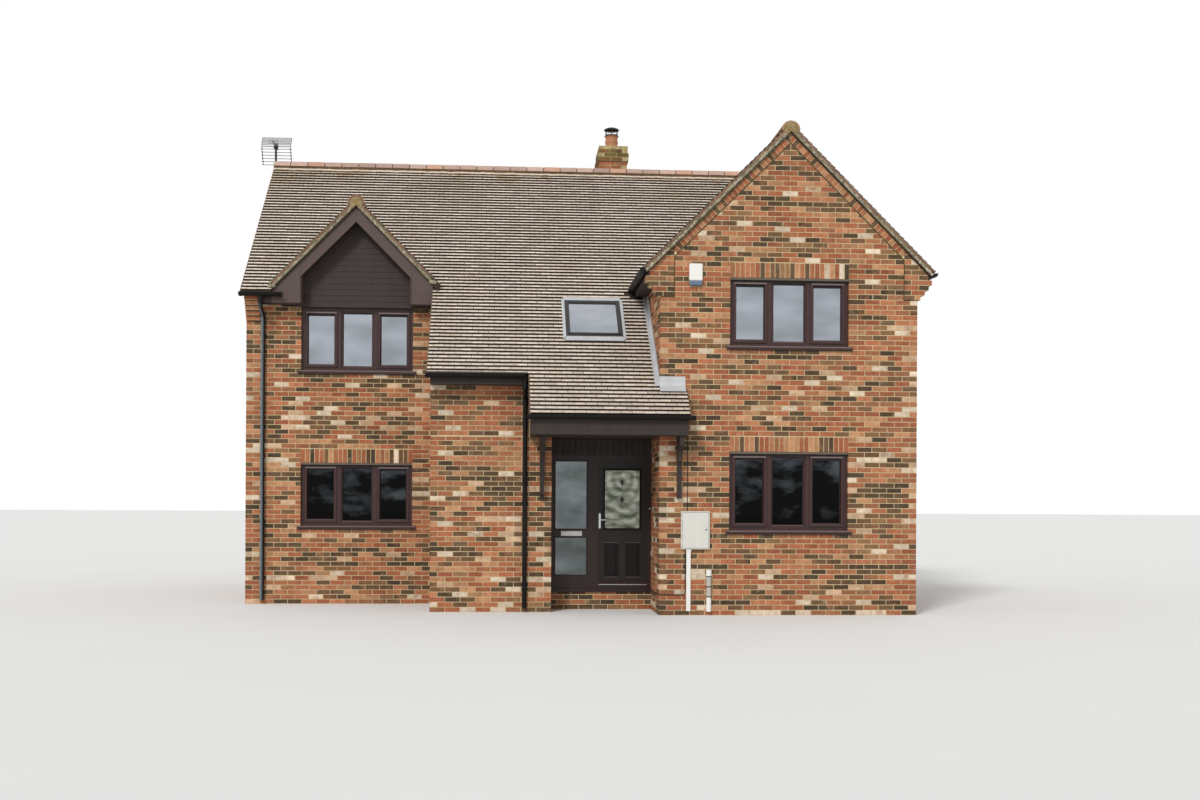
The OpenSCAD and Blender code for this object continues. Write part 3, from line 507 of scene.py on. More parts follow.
def board_material(name, colour, dark, roughness, amount, blotches, specular=0.4):
    """A grained board or a foiled plastic profile."""
    made, tree, shader = new_material(name, Roughness=roughness, Specular_IOR_Level=specular)
    grained = grouped(tree, grain, Color=srgb(colour), Dark=srgb(dark), Amount=amount)
    aged = grouped(tree, weather, Color=grained["Color"], Blotches=blotches, Grit=0.08)
    put(tree, shader.inputs["Base Color"], aged["Color"])
    bump(tree, shader, grained["Height"], 0.0006, 0.5)
    return made


# %% Materials: joinery, boarding, door leaf
joinery = board_material("joinery", "432827", "2A1718", 0.34, 0.6, 0.05, 0.4)
# The next two are lighter copies of the joinery, for painted highlights on windows and door.
joinery_highlight = board_material("joinery_highlight", "73625C", "5A4A45", 0.36, 0.4, 0.05, 0.4)
casement_highlight = board_material("casement_highlight", "7C6F6D", "685C5A", 0.4, 0.4, 0.05, 0.4)
frame_paint = board_material("door_frame", "2F1E1C", "1E1210", 0.36, 0.6, 0.05, 0.3)
boarding = board_material("boarding", "5A4844", "3E302E", 0.62, 0.6, 0.25)
# The next board is darker partly in its own stain and partly as painted shade, for the boards
# under the porch and the eaves.
dark_boarding = board_material("dark_boarding", "3A302E", "292120", 0.62, 0.6, 0.2, 0.25)
door_paint = board_material("door_leaf", "1D1815", "110E0C", 0.38, 0.6, 0.04, 0.3)
door_field = board_material("door_field", "120E0C", "0B0908", 0.45, 0.6, 0.02, 0.2)
print("grained finishes:", joinery.name, boarding.name, door_paint.name)

# %% [markdown]
# ## Glass, metal and plastic
# Window glass lets the eye into dark rooms and mirrors the pale sky a little. The lower panes'
# near-black tint is painted shade of those rooms, and the clouds in the reflections are painted
# into the glass's colour. The upper panes mirror more, as they do in the photograph. Lead has a
# grey-lilac skin, the gutters are black plastic, and the rest are small parts in plain colours,
# each with its own dust and wear.

# %% Materials: glass
lower_panes = (1.45, 2.35)


def glass_material(name, tint, reflected, mirror, roughness, spread=(0.3, 0.75), detail=4, ior=1.45,
                   sky=0.0):
    """Glass that mirrors the sky, its clouds painted into the colour as a painted reflection;
    where sky is set, a lower pane gets more of them at its top.
    """
    made, tree, shader = new_material(name, Transmission_Weight=1.0, IOR=ior, Metallic=mirror)
    reflected_clouds = cloud(tree, place(tree, (1, 1, 2)), 1.5, detail)
    higher = times(tree, span(tree, coordinate(tree, 2), *lower_panes), sky)
    painted_reflection = span(tree, calc(tree, "ADD", reflected_clouds, higher), *spread)
    put(tree, shader.inputs["Base Color"], mix(tree, painted_reflection, srgb(tint), srgb(reflected)))
    put(tree, shader.inputs["Roughness"], calc(tree, "ADD", roughness, times(tree, painted_reflection, 0.04)))
    return made


# The lower glass's near-black tint is painted shade of the dark rooms behind it.
clear_glass = glass_material("glass_lower", "080908", "A4AEB6", 0.27, 0.01, (0.62, 1.0), 5, 1.2,
                             0.26)
bright_glass = glass_material("glass_upper", "9FA7AD", "BFC4CE", 0.75, 0.02, (0.3, 0.7), 1)
side_glass = glass_material("glass_side", "636B69", "959DA0", 0.62, 0.06, (0.35, 0.7))

# %% Material: obscure glass of the door
door_pane_middle = (0.823, -2.88, 1.95)
obscure_glass = glass_material("glass_obscure", "565E50", "A3A897", 0.55, 0.15)
tree = obscure_glass.node_tree
shader = tree.nodes["Principled BSDF"]
squash = (1, 1, 0.8)
centred = place(tree, squash, [-c * s for c, s in zip(door_pane_middle, squash)])
arcs = add(tree, "TexWave", {"Vector": centred, "Scale": 2.3, "Distortion": 5.0, "Detail": 2.0,
                             "Detail Scale": 1.6}, wave_type="RINGS", rings_direction="SPHERICAL")
pools = span(tree, cloud(tree, place(tree, (1, 1, 2.4)), 5.5, 3, 0.5), 0.35, 0.65)
patterned = calc(tree, "ADD", times(tree, arcs.outputs["Fac"], 0.4), times(tree, pools, 0.6))
put(tree, shader.inputs["Base Color"], ramp(tree, patterned, [
    (0.1, "59604F"), (0.3, "7F8473"), (0.6, "9B9F90"), (0.9, "BFC3B5")]))
bump(tree, shader, patterned, 0.002, 0.6)
print("glasses:", clear_glass.name, bright_glass.name, side_glass.name, obscure_glass.name)

# %% Materials: lead, gutters and fittings


def plain_material(name, colour, roughness, metallic=0.0, blotches=0.15, grit=0.1, height=0.0008,
                   specular=0.5):
    """A plain colour with dust, runs and fine grit."""
    made, tree, shader = new_material(name, Roughness=roughness, Metallic=metallic,
                                      Specular_IOR_Level=specular)
    aged = grouped(tree, weather, Color=srgb(colour), Blotches=blotches, Grit=grit)
    put(tree, shader.inputs["Base Color"], aged["Color"])
    bump(tree, shader, aged["Height"], height, 0.4)
    return made


lead = plain_material("lead", "C4C6C8", 0.55, 0.3, 0.2, 0.2, 0.002)
meter_grey = plain_material("meter_grey", "DAD9D0", 0.5, 0, 0.1, 0.06)
white_plastic = plain_material("white_plastic", "EDEBE4", 0.35, 0, 0.05, 0.04)
blue_plastic = plain_material("blue_plastic", "5F7488", 0.3, 0, 0.05, 0.04)
pipe_grey = plain_material("pipe_grey", "BDB9AF", 0.45, 0, 0.15, 0.06)
lintel_grey = plain_material("lintel_grey", "695E51", 0.8, 0, 0.3, 0.25, 0.001)
green_glass = plain_material("green_glass", "10170F", 0.3, 0, 0.1, 0.05, 0.0002)
silver = plain_material("silver", "B9B8B6", 0.3, 0.6, 0.05, 0.05, 0.0002)
chrome = plain_material("chrome", "C9CBCD", 0.14, 1.0, 0.05, 0.03, 0.0001)
aluminium = plain_material("aluminium", "8D9092", 0.4, 0.8, 0.2, 0.1)
dark_metal = plain_material("dark_metal", "2A2A2C", 0.45, 0.4, 0.3, 0.1)
terracotta = plain_material("terracotta", "C4865F", 0.8, 0, 0.3, 0.25, 0.002)
concrete = plain_material("concrete", "9A948C", 0.9, 0, 0.3, 0.3, 0.003)
rubber = plain_material("rubber", "151515", 0.7, 0, 0.1, 0.05)

# %% Material: black plastic, with a painted highlight on the left downpipe
gutter_black, highlight_grey = "0A0A0B", "6A7076"
black_plastic = plain_material("black_plastic", gutter_black, 0.5, 0, 0.12, 0.05, 0.0003, 0.18)
tree = black_plastic.node_tree
# Painted highlight: on the left side of the left downpipe, below the gutter, the black turns pale
# grey, as the pipe's lit side.
left_end = span(tree, coordinate(tree, 0), left_pipe_x + 0.020, left_pipe_x - 0.004)
below = span(tree, coordinate(tree, 2), 4.75, 4.6)
highlighted = mix(tree, times(tree, left_end, below), srgb(gutter_black), srgb(highlight_grey))
put(tree, tree.nodes["Group"].inputs["Color"], highlighted)
print("materials so far:", len(bpy.data.materials))

# %% [markdown]
# ## Finishes on the CAD solids
# A CAD solid keeps its mesh and only gets a better material in its slots. The walls become
# mortar and the roof slabs become the bed of the tiles, because bricks and tiles are laid over
# them below. The bed is dark partly as felt and battens and partly as painted shade.

# %% Give the CAD solids their finishes
finishes = {
    mortar: ["left_gable_wall", "right_gable_wall", "rear_wall", "left_bay_wall",
             "middle_side_wall", "middle_front_wall", "wing_front_wall", "wing_left_wall",
             "wing_right_wall"],
    chimney_mortar: ["chimney_stack"],
    shaded_roof_bed: ["main_roof_front", "main_roof_rear", "catslide_roof", "wing_roof_left",
               "wing_roof_right", "dormer_roof_left", "dormer_roof_right"],
    ridge_bed: ["main_ridge", "wing_ridge", "dormer_ridge"],
    boarding: ["bargeboards"],
    dark_boarding: ["door_head_wall", "dormer_cladding", "porch_canopy", "porch_brackets",
                    "eaves_boards"],
    joinery: ["left_lower_window", "left_upper_window", "wing_lower_window",
              "wing_upper_window", "rear_windows"],
    frame_paint: ["door_frame"],
    clear_glass: ["glazing_lower"],
    bright_glass: ["glazing_upper"],
    obscure_glass: ["door_glass"],
    door_paint: ["front_door"],
    concrete: ["ground_floor", "first_floor"],
    dark_metal: ["roof_window"],
    chrome: ["door_handle"],
    terracotta: ["chimney_pot"],
    black_plastic: ["gutters_and_pipes"],
    meter_grey: ["meter_box"],
    white_plastic: ["alarm_box"],
    aluminium: ["aerial"],
}
for material, names in finishes.items():
    for name in names:
        for material_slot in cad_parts[name].material_slots:
            material_slot.material = material
print("CAD solids finished:", sum(len(names) for names in finishes.values()))

# %% [markdown]
# ## Many small things from one shape
# Thousands of bricks and tiles can't each be an object. One brick is shaped with bmesh: a cube
# whose front rim gets a small chamfer. Its corners are then kept in two parts, the side of the
# box that each lies on and its fixed offset from there, so the same shape can be stretched to a
# half brick or a long tile while its chamfer keeps its size. Arrays place all copies at once in
# one joined mesh, and every face remembers the random numbers of its brick.

# %% One shape, many places


def corners_and_faces(form):
    """Takes a finished shape apart into arrays and frees it."""
    form.verts.index_update()
    corners = np.array([v.co[:] for v in form.verts])
    faces = np.array([[v.index for v in f.verts] for f in form.faces])
    form.free()
    return corners, faces


def rounded(form, edges, offset, segments=2):
    """Bevels edges and returns the corners of what this makes."""
    return bmesh.ops.bevel(form, geom=edges, offset=offset, segments=segments, profile=0.5,
                           affect="EDGES", material=-1)["verts"]


def chamfered_box(chamfer):
    """Sides, offsets, faces and edge marks of a box with a chamfered rim; outwards is +Z."""
    form = bmesh.new()
    bmesh.ops.create_cube(form, size=2)
    rounded(form, [e for e in form.edges if all(v.co.z > 0 for v in e.verts)], chamfer, 1)
    # Marks: 1 on the face towards -Y and 0.8 on the sides; tile materials paint shade on them.
    marks = [1.0 if f.normal.y < -0.5 else 0.8 if abs(f.normal.x) > 0.5 else 0.0
             for f in form.faces]
    corners, faces = corners_and_faces(form)
    sides = np.sign(corners)
    return sides, corners - sides, faces, np.array(marks)


def link_piece(name, mesh, material, body="house"):
    """Puts a finished mesh in the scene as a piece that rides on a body."""
    piece = bpy.data.objects.new(name, mesh)
    scene.collection.objects.link(piece)
    mesh.materials.clear()
    mesh.materials.append(material)
    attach(piece, body)
    return piece


def slice_off(form, geometry, point, outward):
    """Drops what lies outside a plane; returns the edges of the cut and all that stays."""
    result = bmesh.ops.bisect_plane(form, geom=geometry, dist=1e-6, plane_co=point,
                                    plane_no=outward, clear_outer=True)
    return [e for e in result["geom_cut"] if isinstance(e, bmesh.types.BMEdge)], result["geom"]


def cut_away(mesh, cuts):
    """Cuts some of the joined parts along planes and closes the cuts."""
    form = bmesh.new()
    form.from_mesh(mesh)
    owner = form.faces.layers.int["part"]
    numbers = [form.faces.layers.float[key] for key in ("pick", "tone", "edge")]
    for point, outward, parts in cuts:
        faces = [f for f in form.faces if f[owner] in parts]
        geometry = faces + list({e for f in faces for e in f.edges})
        geometry += list({v for f in faces for v in f.verts})
        edges, _ = slice_off(form, geometry, point, outward)
        for face in bmesh.ops.holes_fill(form, edges=edges, sides=12)["faces"]:
            near = [f for e in face.edges for f in e.link_faces if f is not face][0]
            face[owner] = near[owner]
            for layer in numbers:
                face[layer] = near[layer]
    form.to_mesh(mesh)
    form.free()


# %% Copies of one shape as one piece
twin_share = 0.10


def everywhere(middle):
    """For a cut that applies to all parts, wherever their middle is."""
    return True


def joined(name, shape, centres, halves, axes, origin, rng, material, cuts=(), tilts=None,
           shades=1.0):
    """All copies of one shape as one piece; axes are along, up and outwards.

    A cut is a point, a direction outwards and a test of a copy's middle. Every copy draws its
    pick and its tone, and now and then takes its neighbour's pick.
    """
    sides, offsets, faces, marks = shape
    centres, halves, axes = np.array(centres), np.array(halves), np.array(axes, float)
    local = sides * halves[:, None] + offsets
    if tilts is not None:
        local[:, :, 2] += (local[:, :, :2] * np.array(tilts)[:, None]).sum(2)
    points = np.array(origin) + (local + centres[:, None]) @ axes
    rise = local[:, :, 1] + halves[:, None, 1]
    pick = rng.random(len(points))
    twin = rng.random(len(points)) < twin_share
    pick[1:] = np.where(twin[1:], pick[:-1], pick[1:])
    pick *= shades
    tone = rng.random(len(points))
    middle = points.mean(1)
    crossing = []
    keep = np.ones(len(points), bool)
    for point, outward, applies in cuts:
        near = np.array([applies(m) for m in middle])
        away = (points - np.array(point)) @ np.array(outward)
        keep &= ~(near & (away > -0.002).all(1))
        crossing.append(near & (away > 0).any(1))
    numbers = np.cumsum(keep) - 1
    points, pick, tone, rise = points[keep], pick[keep], tone[keep], rise[keep]
    count, per = len(points), len(sides)
    mesh = bpy.data.meshes.new(name)
    all_faces = (faces[None] + per * np.arange(count)[:, None, None]).reshape(-1, 4)
    mesh.from_pydata(points.reshape(-1, 3).tolist(), [], all_faces.tolist())
    values = {"pick": np.repeat(pick, len(faces)), "tone": np.repeat(tone, len(faces)),
              "edge": np.tile(marks, count)}
    for key, column in values.items():
        mesh.attributes.new(key, "FLOAT", "FACE").data.foreach_set("value", column)
    mesh.attributes.new("rise", "FLOAT", "POINT").data.foreach_set("value", rise.ravel())
    owner = mesh.attributes.new("part", "INT", "FACE")
    owner.data.foreach_set("value", np.repeat(np.arange(count), len(faces)))
    planes = [(cut[0], cut[1], set(numbers[cross & keep].tolist()))
              for cut, cross in zip(cuts, crossing) if (cross & keep).any()]
    if planes:
        cut_away(mesh, planes)
    print(f"{name}: {count} parts, {len(mesh.polygons)} faces")
    return link_piece(name, mesh, material)


# %% [markdown]
# ## Brickwork
# The walls are laid in stretcher bond on courses of 75 mm. A mason starts at the corners: on
# one course the long face of the corner brick lies on one wall and its end shows on the next,
# and on the following course it is the other way round. lay_bricks does the same. It fills the
# stretches between corners and openings course by course, cuts bricks where a stretch ends, and
# turns the bricks beside an opening into its reveal.

# %% Lay bricks
course, joint, bond = 0.075, 0.010, 0.225
half_brick, set_back, proud, reveal = 0.1025, 0.02, 0.004, 0.058
shortest_brick, thinnest_brick = 0.05, 0.015
brick_box = chamfered_box(0.003)


def stretches(start, end, openings, low, high):
    """What is left of a course between start and end once the openings are taken out."""
    parts = [(start, end)]
    for left, right, bottom, top in openings:
        if bottom < high - 0.01 and top > low + 0.01:
            parts = [(a, b) for s, e in parts for a, b in ((s, min(e, left)), (max(s, right), e))
                     if b - a > 0.02]
    return parts


def wall_axes(along):
    """Along, up and outwards of a wall that runs in a direction of X and Y."""
    along = np.array([*along, 0.0])
    return [along, (0, 0, 1), np.cross(along, (0, 0, 1))]


def lay_bricks(name, origin, along, width, areas, openings=(), first=0, corners=(True, True),
               cuts=(), seed=1, anchor_right=False, material=brick, shades=1.0):
    """Lays one wall's bricks; areas and openings are left, right, bottom and top.

    On every second course, starting with first, the wall's own bricks reach round its corners.
    The bond starts at the left end, or with anchor_right at the right one.
    """
    rng = np.random.default_rng(seed)
    halves_long = max(1, round((width + joint) / (bond / 2)))
    half_module = (width + joint) / halves_long
    shift = width + joint if anchor_right else 0.0
    centres, halves = [], []
    for left, right, bottom, top in areas:
        for row in range(int(bottom / course + 0.01), ceil(top / course - 0.01)):
            low = max(row * course + joint / 2, bottom)
            high = min((row + 1) * course - joint / 2, top - 0.002)
            if high - low < thinnest_brick:
                continue
            owns_left = row % 2 == first
            owns_right = owns_left if anchor_right else (row + halves_long) % 2 == first
            start = shift + (0 if owns_left else half_module)
            for a, b in stretches(left, right, openings, low, high):
                at_left, at_right = a <= 0.001 and corners[0], b >= width - 0.001 and corners[1]
                if at_left and not owns_left:
                    a += half_brick + joint
                if at_right and not owns_right:
                    b -= half_brick + joint
                number = ceil((a + shortest_brick - start) / (2 * half_module))
                ends = [a]
                upright = start + 2 * half_module * number - joint / 2
                while upright < b - shortest_brick:
                    if upright > a + shortest_brick - joint / 2:
                        ends.append(upright)
                    number += 1
                    upright = start + 2 * half_module * number - joint / 2
                ends.append(b)
                last = len(ends) - 2
                for i in range(last + 1):
                    u0 = ends[i] + (joint / 2 if i else 0) + rng.uniform(-0.001, 0.001)
                    u1 = ends[i + 1] - (joint / 2 if i < last else 0)
                    back = set_back
                    if i == 0 and at_left and owns_left:
                        u0, back = -proud, half_brick
                    elif i == 0 and any(abs(a - hole[1]) < 0.001 for hole in openings):
                        u0, back = a - 0.003, reveal
                    if i == last and at_right and owns_right:
                        u1, back = width + proud, half_brick
                    elif i == last and any(abs(b - hole[0]) < 0.001 for hole in openings):
                        u1, back = b + 0.003, reveal
                    front = proud + rng.uniform(-0.0012, 0.0012)
                    foot = low + rng.uniform(-0.0012, 0.0012)
                    centres.append(((u0 + u1) / 2, (foot + high) / 2, (front - back) / 2))
                    halves.append(((u1 - u0) / 2, (high - foot) / 2, (front + back) / 2))
    joined(name, brick_box, centres, halves, wall_axes(along), (*origin, 0), rng, material,
           cuts, shades=shades)


def under_main(side):
    """Cut along the underside of the main roof, on the front (-1) or the rear (1) slope."""
    slope = (0, side * sin(main_pitch), cos(main_pitch))
    return (0, y_ridge, ridge_z - slab_depth(main_pitch) - 0.002), slope, everywhere


def under_wing(side, depth):
    """Cut along a line a given height under the wing's slope on the left (-1) or right (1)."""
    slope = (side * sin(wing_pitch), 0, cos(wing_pitch))
    return (x_wing_mid, 0, wing_ridge_z - depth), slope, everywhere


# %% [markdown]
# The openings are given in each wall's own measure, from its left corner as seen from outside.
# Over the lower windows and the wing's upper one stands a course of soldiers, bricks on end,
# which takes up three courses. Where the eaves are closed by corbelled bricks, the wall leaves
# their place free.

# %% Walls of the left bay, the middle and the door's recess
window_w, window_h, tall_window_h, soldier_h = 1.770, 1.050, 1.200, 0.225
half_window = window_w / 2
lower_sill, dormer_sill, upper_sill = 1.200, 3.675, 3.900
kneeler_w, kneeler_foot, wing_kneeler_foot = 0.215, 4.500, 4.650
cladding_half, cladding_foot = 1.190, 4.725
bay_w, recess_side, middle_side, middle_w, step_w = 2.995, 0.530, 1.650, 1.795, 1.560
step_z, middle_side_top = 0.270, 5.080
bay_window = x_dormer - x_left
far = 11


def window_hole(middle, sill, height, soldiers=True):
    """A window and the soldier course over it, as one hole in the field of bricks."""
    top = sill + height + (soldier_h if soldiers else 0)
    return (middle - half_window, middle + half_window, sill, top)


lay_bricks("bricks_left_bay", (x_left, y_left), (1, 0), bay_w, [(0, bay_w, 0, soffit_z)],
           [window_hole(bay_window, lower_sill, window_h),
            window_hole(bay_window, dormer_sill, window_h, False),
            (bay_window - cladding_half, bay_window + cladding_half, cladding_foot, far),
            (0, kneeler_w + 0.003, kneeler_foot, far)],
           corners=(True, False), seed=11)
lay_bricks("bricks_middle_side", (x_step, y_left), (0, -1), middle_side,
           [(0, middle_side, 0, middle_side_top)], first=1, corners=(False, True),
           anchor_right=True, cuts=[under_main(-1)], seed=12)
above_porch = (0, 1.450, 2.625, 3.372)
lay_bricks("bricks_middle_front", (x_step, y_mid), (1, 0), middle_w,
           [(0, middle_w, 0, canopy_z), above_porch], seed=13)
lay_bricks("bricks_recess_left", (x_door, y_mid), (0, 1), recess_side,
           [(0, recess_side, 0, canopy_z)], first=1, corners=(True, False), seed=14)
lay_bricks("bricks_door_step", (x_door, y_door), (1, 0), step_w, [(0, step_w, 0, step_z)],
           corners=(False, False), seed=15)

# %% Walls of the wing
wing_w, wing_side_low, wing_side_high = 2 * half_wing, 1.130, 2.250
wing_kneeler_w = 0.220
porch_roof_top, wing_side_top, wing_gable_top = 2.925, 5.190, 7.2
band_h = 0.140
band_depth = slab_depth(wing_pitch) + band_h + 0.006
wing_openings = [window_hole(half_wing, lower_sill, tall_window_h),
                 window_hole(half_wing, upper_sill, window_h),
                 (-1, 0.198, wing_kneeler_foot, 5.275), (3.612, far, wing_kneeler_foot, 5.275)]
lay_bricks("bricks_wing_front", (x_wing, y_front), (1, 0), wing_w,
           [(0, wing_w, 0, wing_gable_top)], wing_openings,
           cuts=[under_wing(-1, band_depth), under_wing(1, band_depth)], seed=21)
lay_bricks("bricks_wing_side_low", (x_wing, y_door), (0, -1), wing_side_low,
           [(0, wing_side_low, 0, canopy_z)], first=1, corners=(False, True), anchor_right=True,
           seed=22)
above_slope = ((0, y_ridge, ridge_z + 0.010), (0, sin(main_pitch), -cos(main_pitch)), everywhere)
lay_bricks("bricks_wing_side_high", (x_wing, y_left), (0, -1), wing_side_high,
           [(0, wing_side_high, porch_roof_top, wing_side_top)],
           [(wing_side_high - wing_kneeler_w, far, wing_kneeler_foot, far)], first=1,
           corners=(False, True), anchor_right=True, cuts=[above_slope], seed=23)

# %% End walls and rear wall
left_end_w, right_end_w, rear_w = 5.820, 8.070, 10.160
kneeler_return, main_gable_top = 0.110, 7.6
wing_end, wing_eaves_z, end_eaves_z = 1.955, 4.905, 4.800
rear_x = [x_right - x_wing_mid, x_right - x_dormer]
rear_holes = [window_hole(x, lower_sill, window_h) for x in rear_x]
rear_holes += [window_hole(x, dormer_sill, window_h, False) for x in rear_x]
rear_holes += [(-1, kneeler_w + 0.003, kneeler_foot, far),
               (rear_w - kneeler_w - 0.003, far, kneeler_foot, far)]
lay_bricks("bricks_rear", (x_right, y_rear), (-1, 0), rear_w, [(0, rear_w, 0, soffit_z)],
           rear_holes, seed=31)
lay_bricks("bricks_left_gable", (x_left, y_rear), (0, -1), left_end_w,
           [(0, left_end_w, 0, main_gable_top)],
           [(-1, kneeler_return, kneeler_foot, far),
            (left_end_w - kneeler_return, far, kneeler_foot, far)], first=1,
           cuts=[under_main(-1), under_main(1)], seed=32)
rear_kneeler = (right_end_w - kneeler_return, far, kneeler_foot, far)
lay_bricks("bricks_right_wall", (x_right, y_front), (0, 1), right_end_w,
           [(0, right_end_w, 0, end_eaves_z), (0, wing_end, end_eaves_z, wing_eaves_z)],
           [(-1, wing_kneeler_w, wing_kneeler_foot, far), rear_kneeler], first=1, seed=33)
lay_bricks("bricks_right_gable", (x_right, y_front), (0, 1), right_end_w,
           [(wing_end, right_end_w, end_eaves_z, main_gable_top)], [rear_kneeler], first=1,
           cuts=[under_main(-1), under_main(1)], seed=34)

# %% [markdown]
# ## Soldiers, verge bands and kneelers
# Over a window the bricks stand on end, side by side. Along the wing's verges a band of bricks
# on edge follows the slope, a little proud of the wall, and ends on a kneeler, a few courses
# that step out under the end of the eaves. They are the same brick, only placed in other
# directions.

# %% Soldier courses
soldier_half = (soldier_h - joint) / 2


def lay_soldiers(name, origin, along, middle, head, seed):
    """Bricks on end over one opening."""
    rng = np.random.default_rng(seed)
    count = round(window_w / course)
    pitch = window_w / count
    left = middle - half_window
    centres, halves = [], []
    for i in range(count):
        front = proud + rng.uniform(-0.001, 0.001)
        centres.append((left + (i + 0.5) * pitch, head + soldier_half - 0.0015,
                        (front - reveal) / 2))
        halves.append((pitch / 2 - joint / 2, soldier_half + 0.0015, (front + reveal) / 2))
    joined(name, brick_box, centres, halves, wall_axes(along), (*origin, 0), rng, brick,
           shades=0.97)


lay_soldiers("soldiers_left_lower", (x_left, y_left), (1, 0), bay_window, lower_sill + window_h,
             227)
lay_soldiers("soldiers_wing_lower", (x_wing, y_front), (1, 0), half_wing,
             lower_sill + tall_window_h, 212)
lay_soldiers("soldiers_wing_upper", (x_wing, y_front), (1, 0), half_wing, upper_sill + window_h,
             207)
for number, x in enumerate(rear_x):
    lay_soldiers(f"soldiers_rear_{number + 1}", (x_right, y_rear), (-1, 0), x,
                 lower_sill + window_h, 44 + number)

# %% Bands of bricks on edge under the wing's verges
band_half, band_face = 1.705, 0.012
band_brick = band_h * cos(wing_pitch)


def lay_band(name, side, seed):
    """Bricks square to the verge, from the kneeler up to the apex."""
    rng = np.random.default_rng(seed)
    slope = (-side * cos(wing_pitch), 0, sin(wing_pitch))
    across = (side * sin(wing_pitch), 0, cos(wing_pitch))
    foot = (x_wing_mid + side * band_half, y_front - band_face,
            wing_z(band_half) - slab_depth(wing_pitch) - band_h / 2)
    count = ceil(band_half / cos(wing_pitch) / course) + 1
    centres = [((i + 0.5) * course, 0, -0.006 + rng.uniform(-0.001, 0.001)) for i in range(count)]
    halves = [(course / 2 - 0.004, band_brick / 2 - 0.004, 0.010)] * count
    apex = ((x_wing_mid + side * 0.003, 0, 0), (-side, 0, 0), everywhere)
    foot_cut = ((x_wing_mid + side * band_half, 0, 0), (side, 0, 0), everywhere)
    joined(name, brick_box, centres, halves, [slope, across, (0, -1, 0)], foot, rng, brick,
           [apex, foot_cut], shades=0.68)


lay_band("verge_band_left", -1, 51)
lay_band("verge_band_right", 1, 52)

# %% Kneelers of the main roof
brick_h, corbel = 0.065, 0.045
front_axes = [(1, 0, 0), (0, 0, 1), (0, -1, 0)]


def box_rows(name, rows, seed, cuts=(), shades=1.0):
    """Bricks given by their corners in the frame: x0, x1, y0, y1, z0, z1."""
    low, high = np.array(rows)[:, 0::2], np.array(rows)[:, 1::2]
    centres, sizes = (low + high) / 2, (high - low) / 2
    joined(name, brick_box, centres[:, (0, 2, 1)] * (1, 1, -1), sizes[:, (0, 2, 1)],
           front_axes, (0, 0, 0), np.random.default_rng(seed), brick, cuts,
           shades=shades)


def end_kneeler(x0, face, side):
    """The corbelled bricks that close a boxed eaves on the front (-1) or the rear (1)."""
    rows = []
    for i in range(7):
        step = min(corbel * (i + 1), 0.2345)
        low = kneeler_foot + i * course + joint / 2
        inner = kneeler_return if i % 2 else 0.010
        y0, y1 = sorted((face + side * (step + proud), face - side * inner))
        rows.append((x0 - proud, x0 + kneeler_w + proud, y0, y1, low, low + brick_h))
    return rows


kneeler_bricks = (end_kneeler(x_left, y_left, -1) + end_kneeler(x_left, y_rear, 1)
                  + end_kneeler(x_right - kneeler_w, y_rear, 1))
box_rows("kneelers_main", kneeler_bricks, 61, [under_main(-1), under_main(1)], 0.53)

# %% Kneelers of the wing


def wing_kneeler(side):
    """Four stepped courses beside the wing's gable, then courses up to the verge."""
    rows = []
    inner = band_half + 0.003
    for i, step in enumerate([corbel, 0.110, 0.170, 0.218] + [0.1645] * 6):
        low = wing_kneeler_foot + i * course + joint / 2
        split = inner + (half_brick if i % 2 else kneeler_w if step > 0.1 else 0.16)
        for a, b in ((inner, split), (split + joint, half_wing + step + proud)):
            x0, x1 = sorted((x_wing_mid + side * a, x_wing_mid + side * b))
            rows.append((x0, x1, y_front - proud, y_front + kneeler_w + proud, low, low + brick_h))
    return rows


under_verges = [under_wing(side, slab_depth(wing_pitch) + 0.003) for side in (-1, 1)]
box_rows("kneelers_wing", wing_kneeler(-1) + wing_kneeler(1), 62, under_verges)

# %% [markdown]
# ## Roof tiles
# Plain tiles lie in courses about 96 mm apart, each course shifted by half a tile. A tile's
# tail stands on the one below, so every course makes a small step with a dark edge, which gives
# the roof its fine stripes. lay_tiles works on one slope: it knows the slope's corner at the
# eaves, its direction to the right and its direction up. Where two roofs meet, the tiles are
# cut along the valley.

# %% Lay tiles
tile_w, tile_gap, tail, lap = 0.165, 0.003, 0.016, 0.010
narrowest_tile = below_ridge = 0.03
tile_box = chamfered_box(0.0015)


def lay_tiles(name, origin, right, up, areas, cuts=(), seed=1, gauge=gauge, hang_over=overhang):
    """Lays the tiles of one slope; areas are left, right, bottom and top on the slope.

    All courses lie lower by hang_over, so that the first one reaches over the gutter.
    """
    rng = np.random.default_rng(seed)
    centres, halves, tilts = [], [], []
    half_up = gauge / 2 + lap
    lean = -tail / gauge
    for left, end, bottom, top in areas:
        for row in range(int(round(bottom / gauge, 3)), ceil(round(top / gauge, 3))):
            start = -tile_w / 2 * (row % 2)
            for i in range(int((left - start) // tile_w), int((end - start) // tile_w) + 1):
                u0, u1 = max(left, start + i * tile_w), min(end, start + (i + 1) * tile_w)
                if u1 - u0 < narrowest_tile:
                    continue
                lift = rng.uniform(0, 0.0016)
                v = row * gauge + half_up - hang_over + rng.uniform(-0.001, 0.001)
                centres.append(((u0 + u1) / 2, v, tail / 2 + lean * (half_up - gauge / 2) + lift))
                halves.append(((u1 - u0 - tile_gap) / 2, half_up, tail / 2))
                tilts.append((rng.uniform(-0.006, 0.006), lean + rng.uniform(-0.006, 0.006)))
    joined(name, tile_box, centres, halves, [right, up, np.cross(right, up)], origin, rng, tile,
           cuts, tilts)


# %% Cuts along the valleys
valley_gap = 0.022


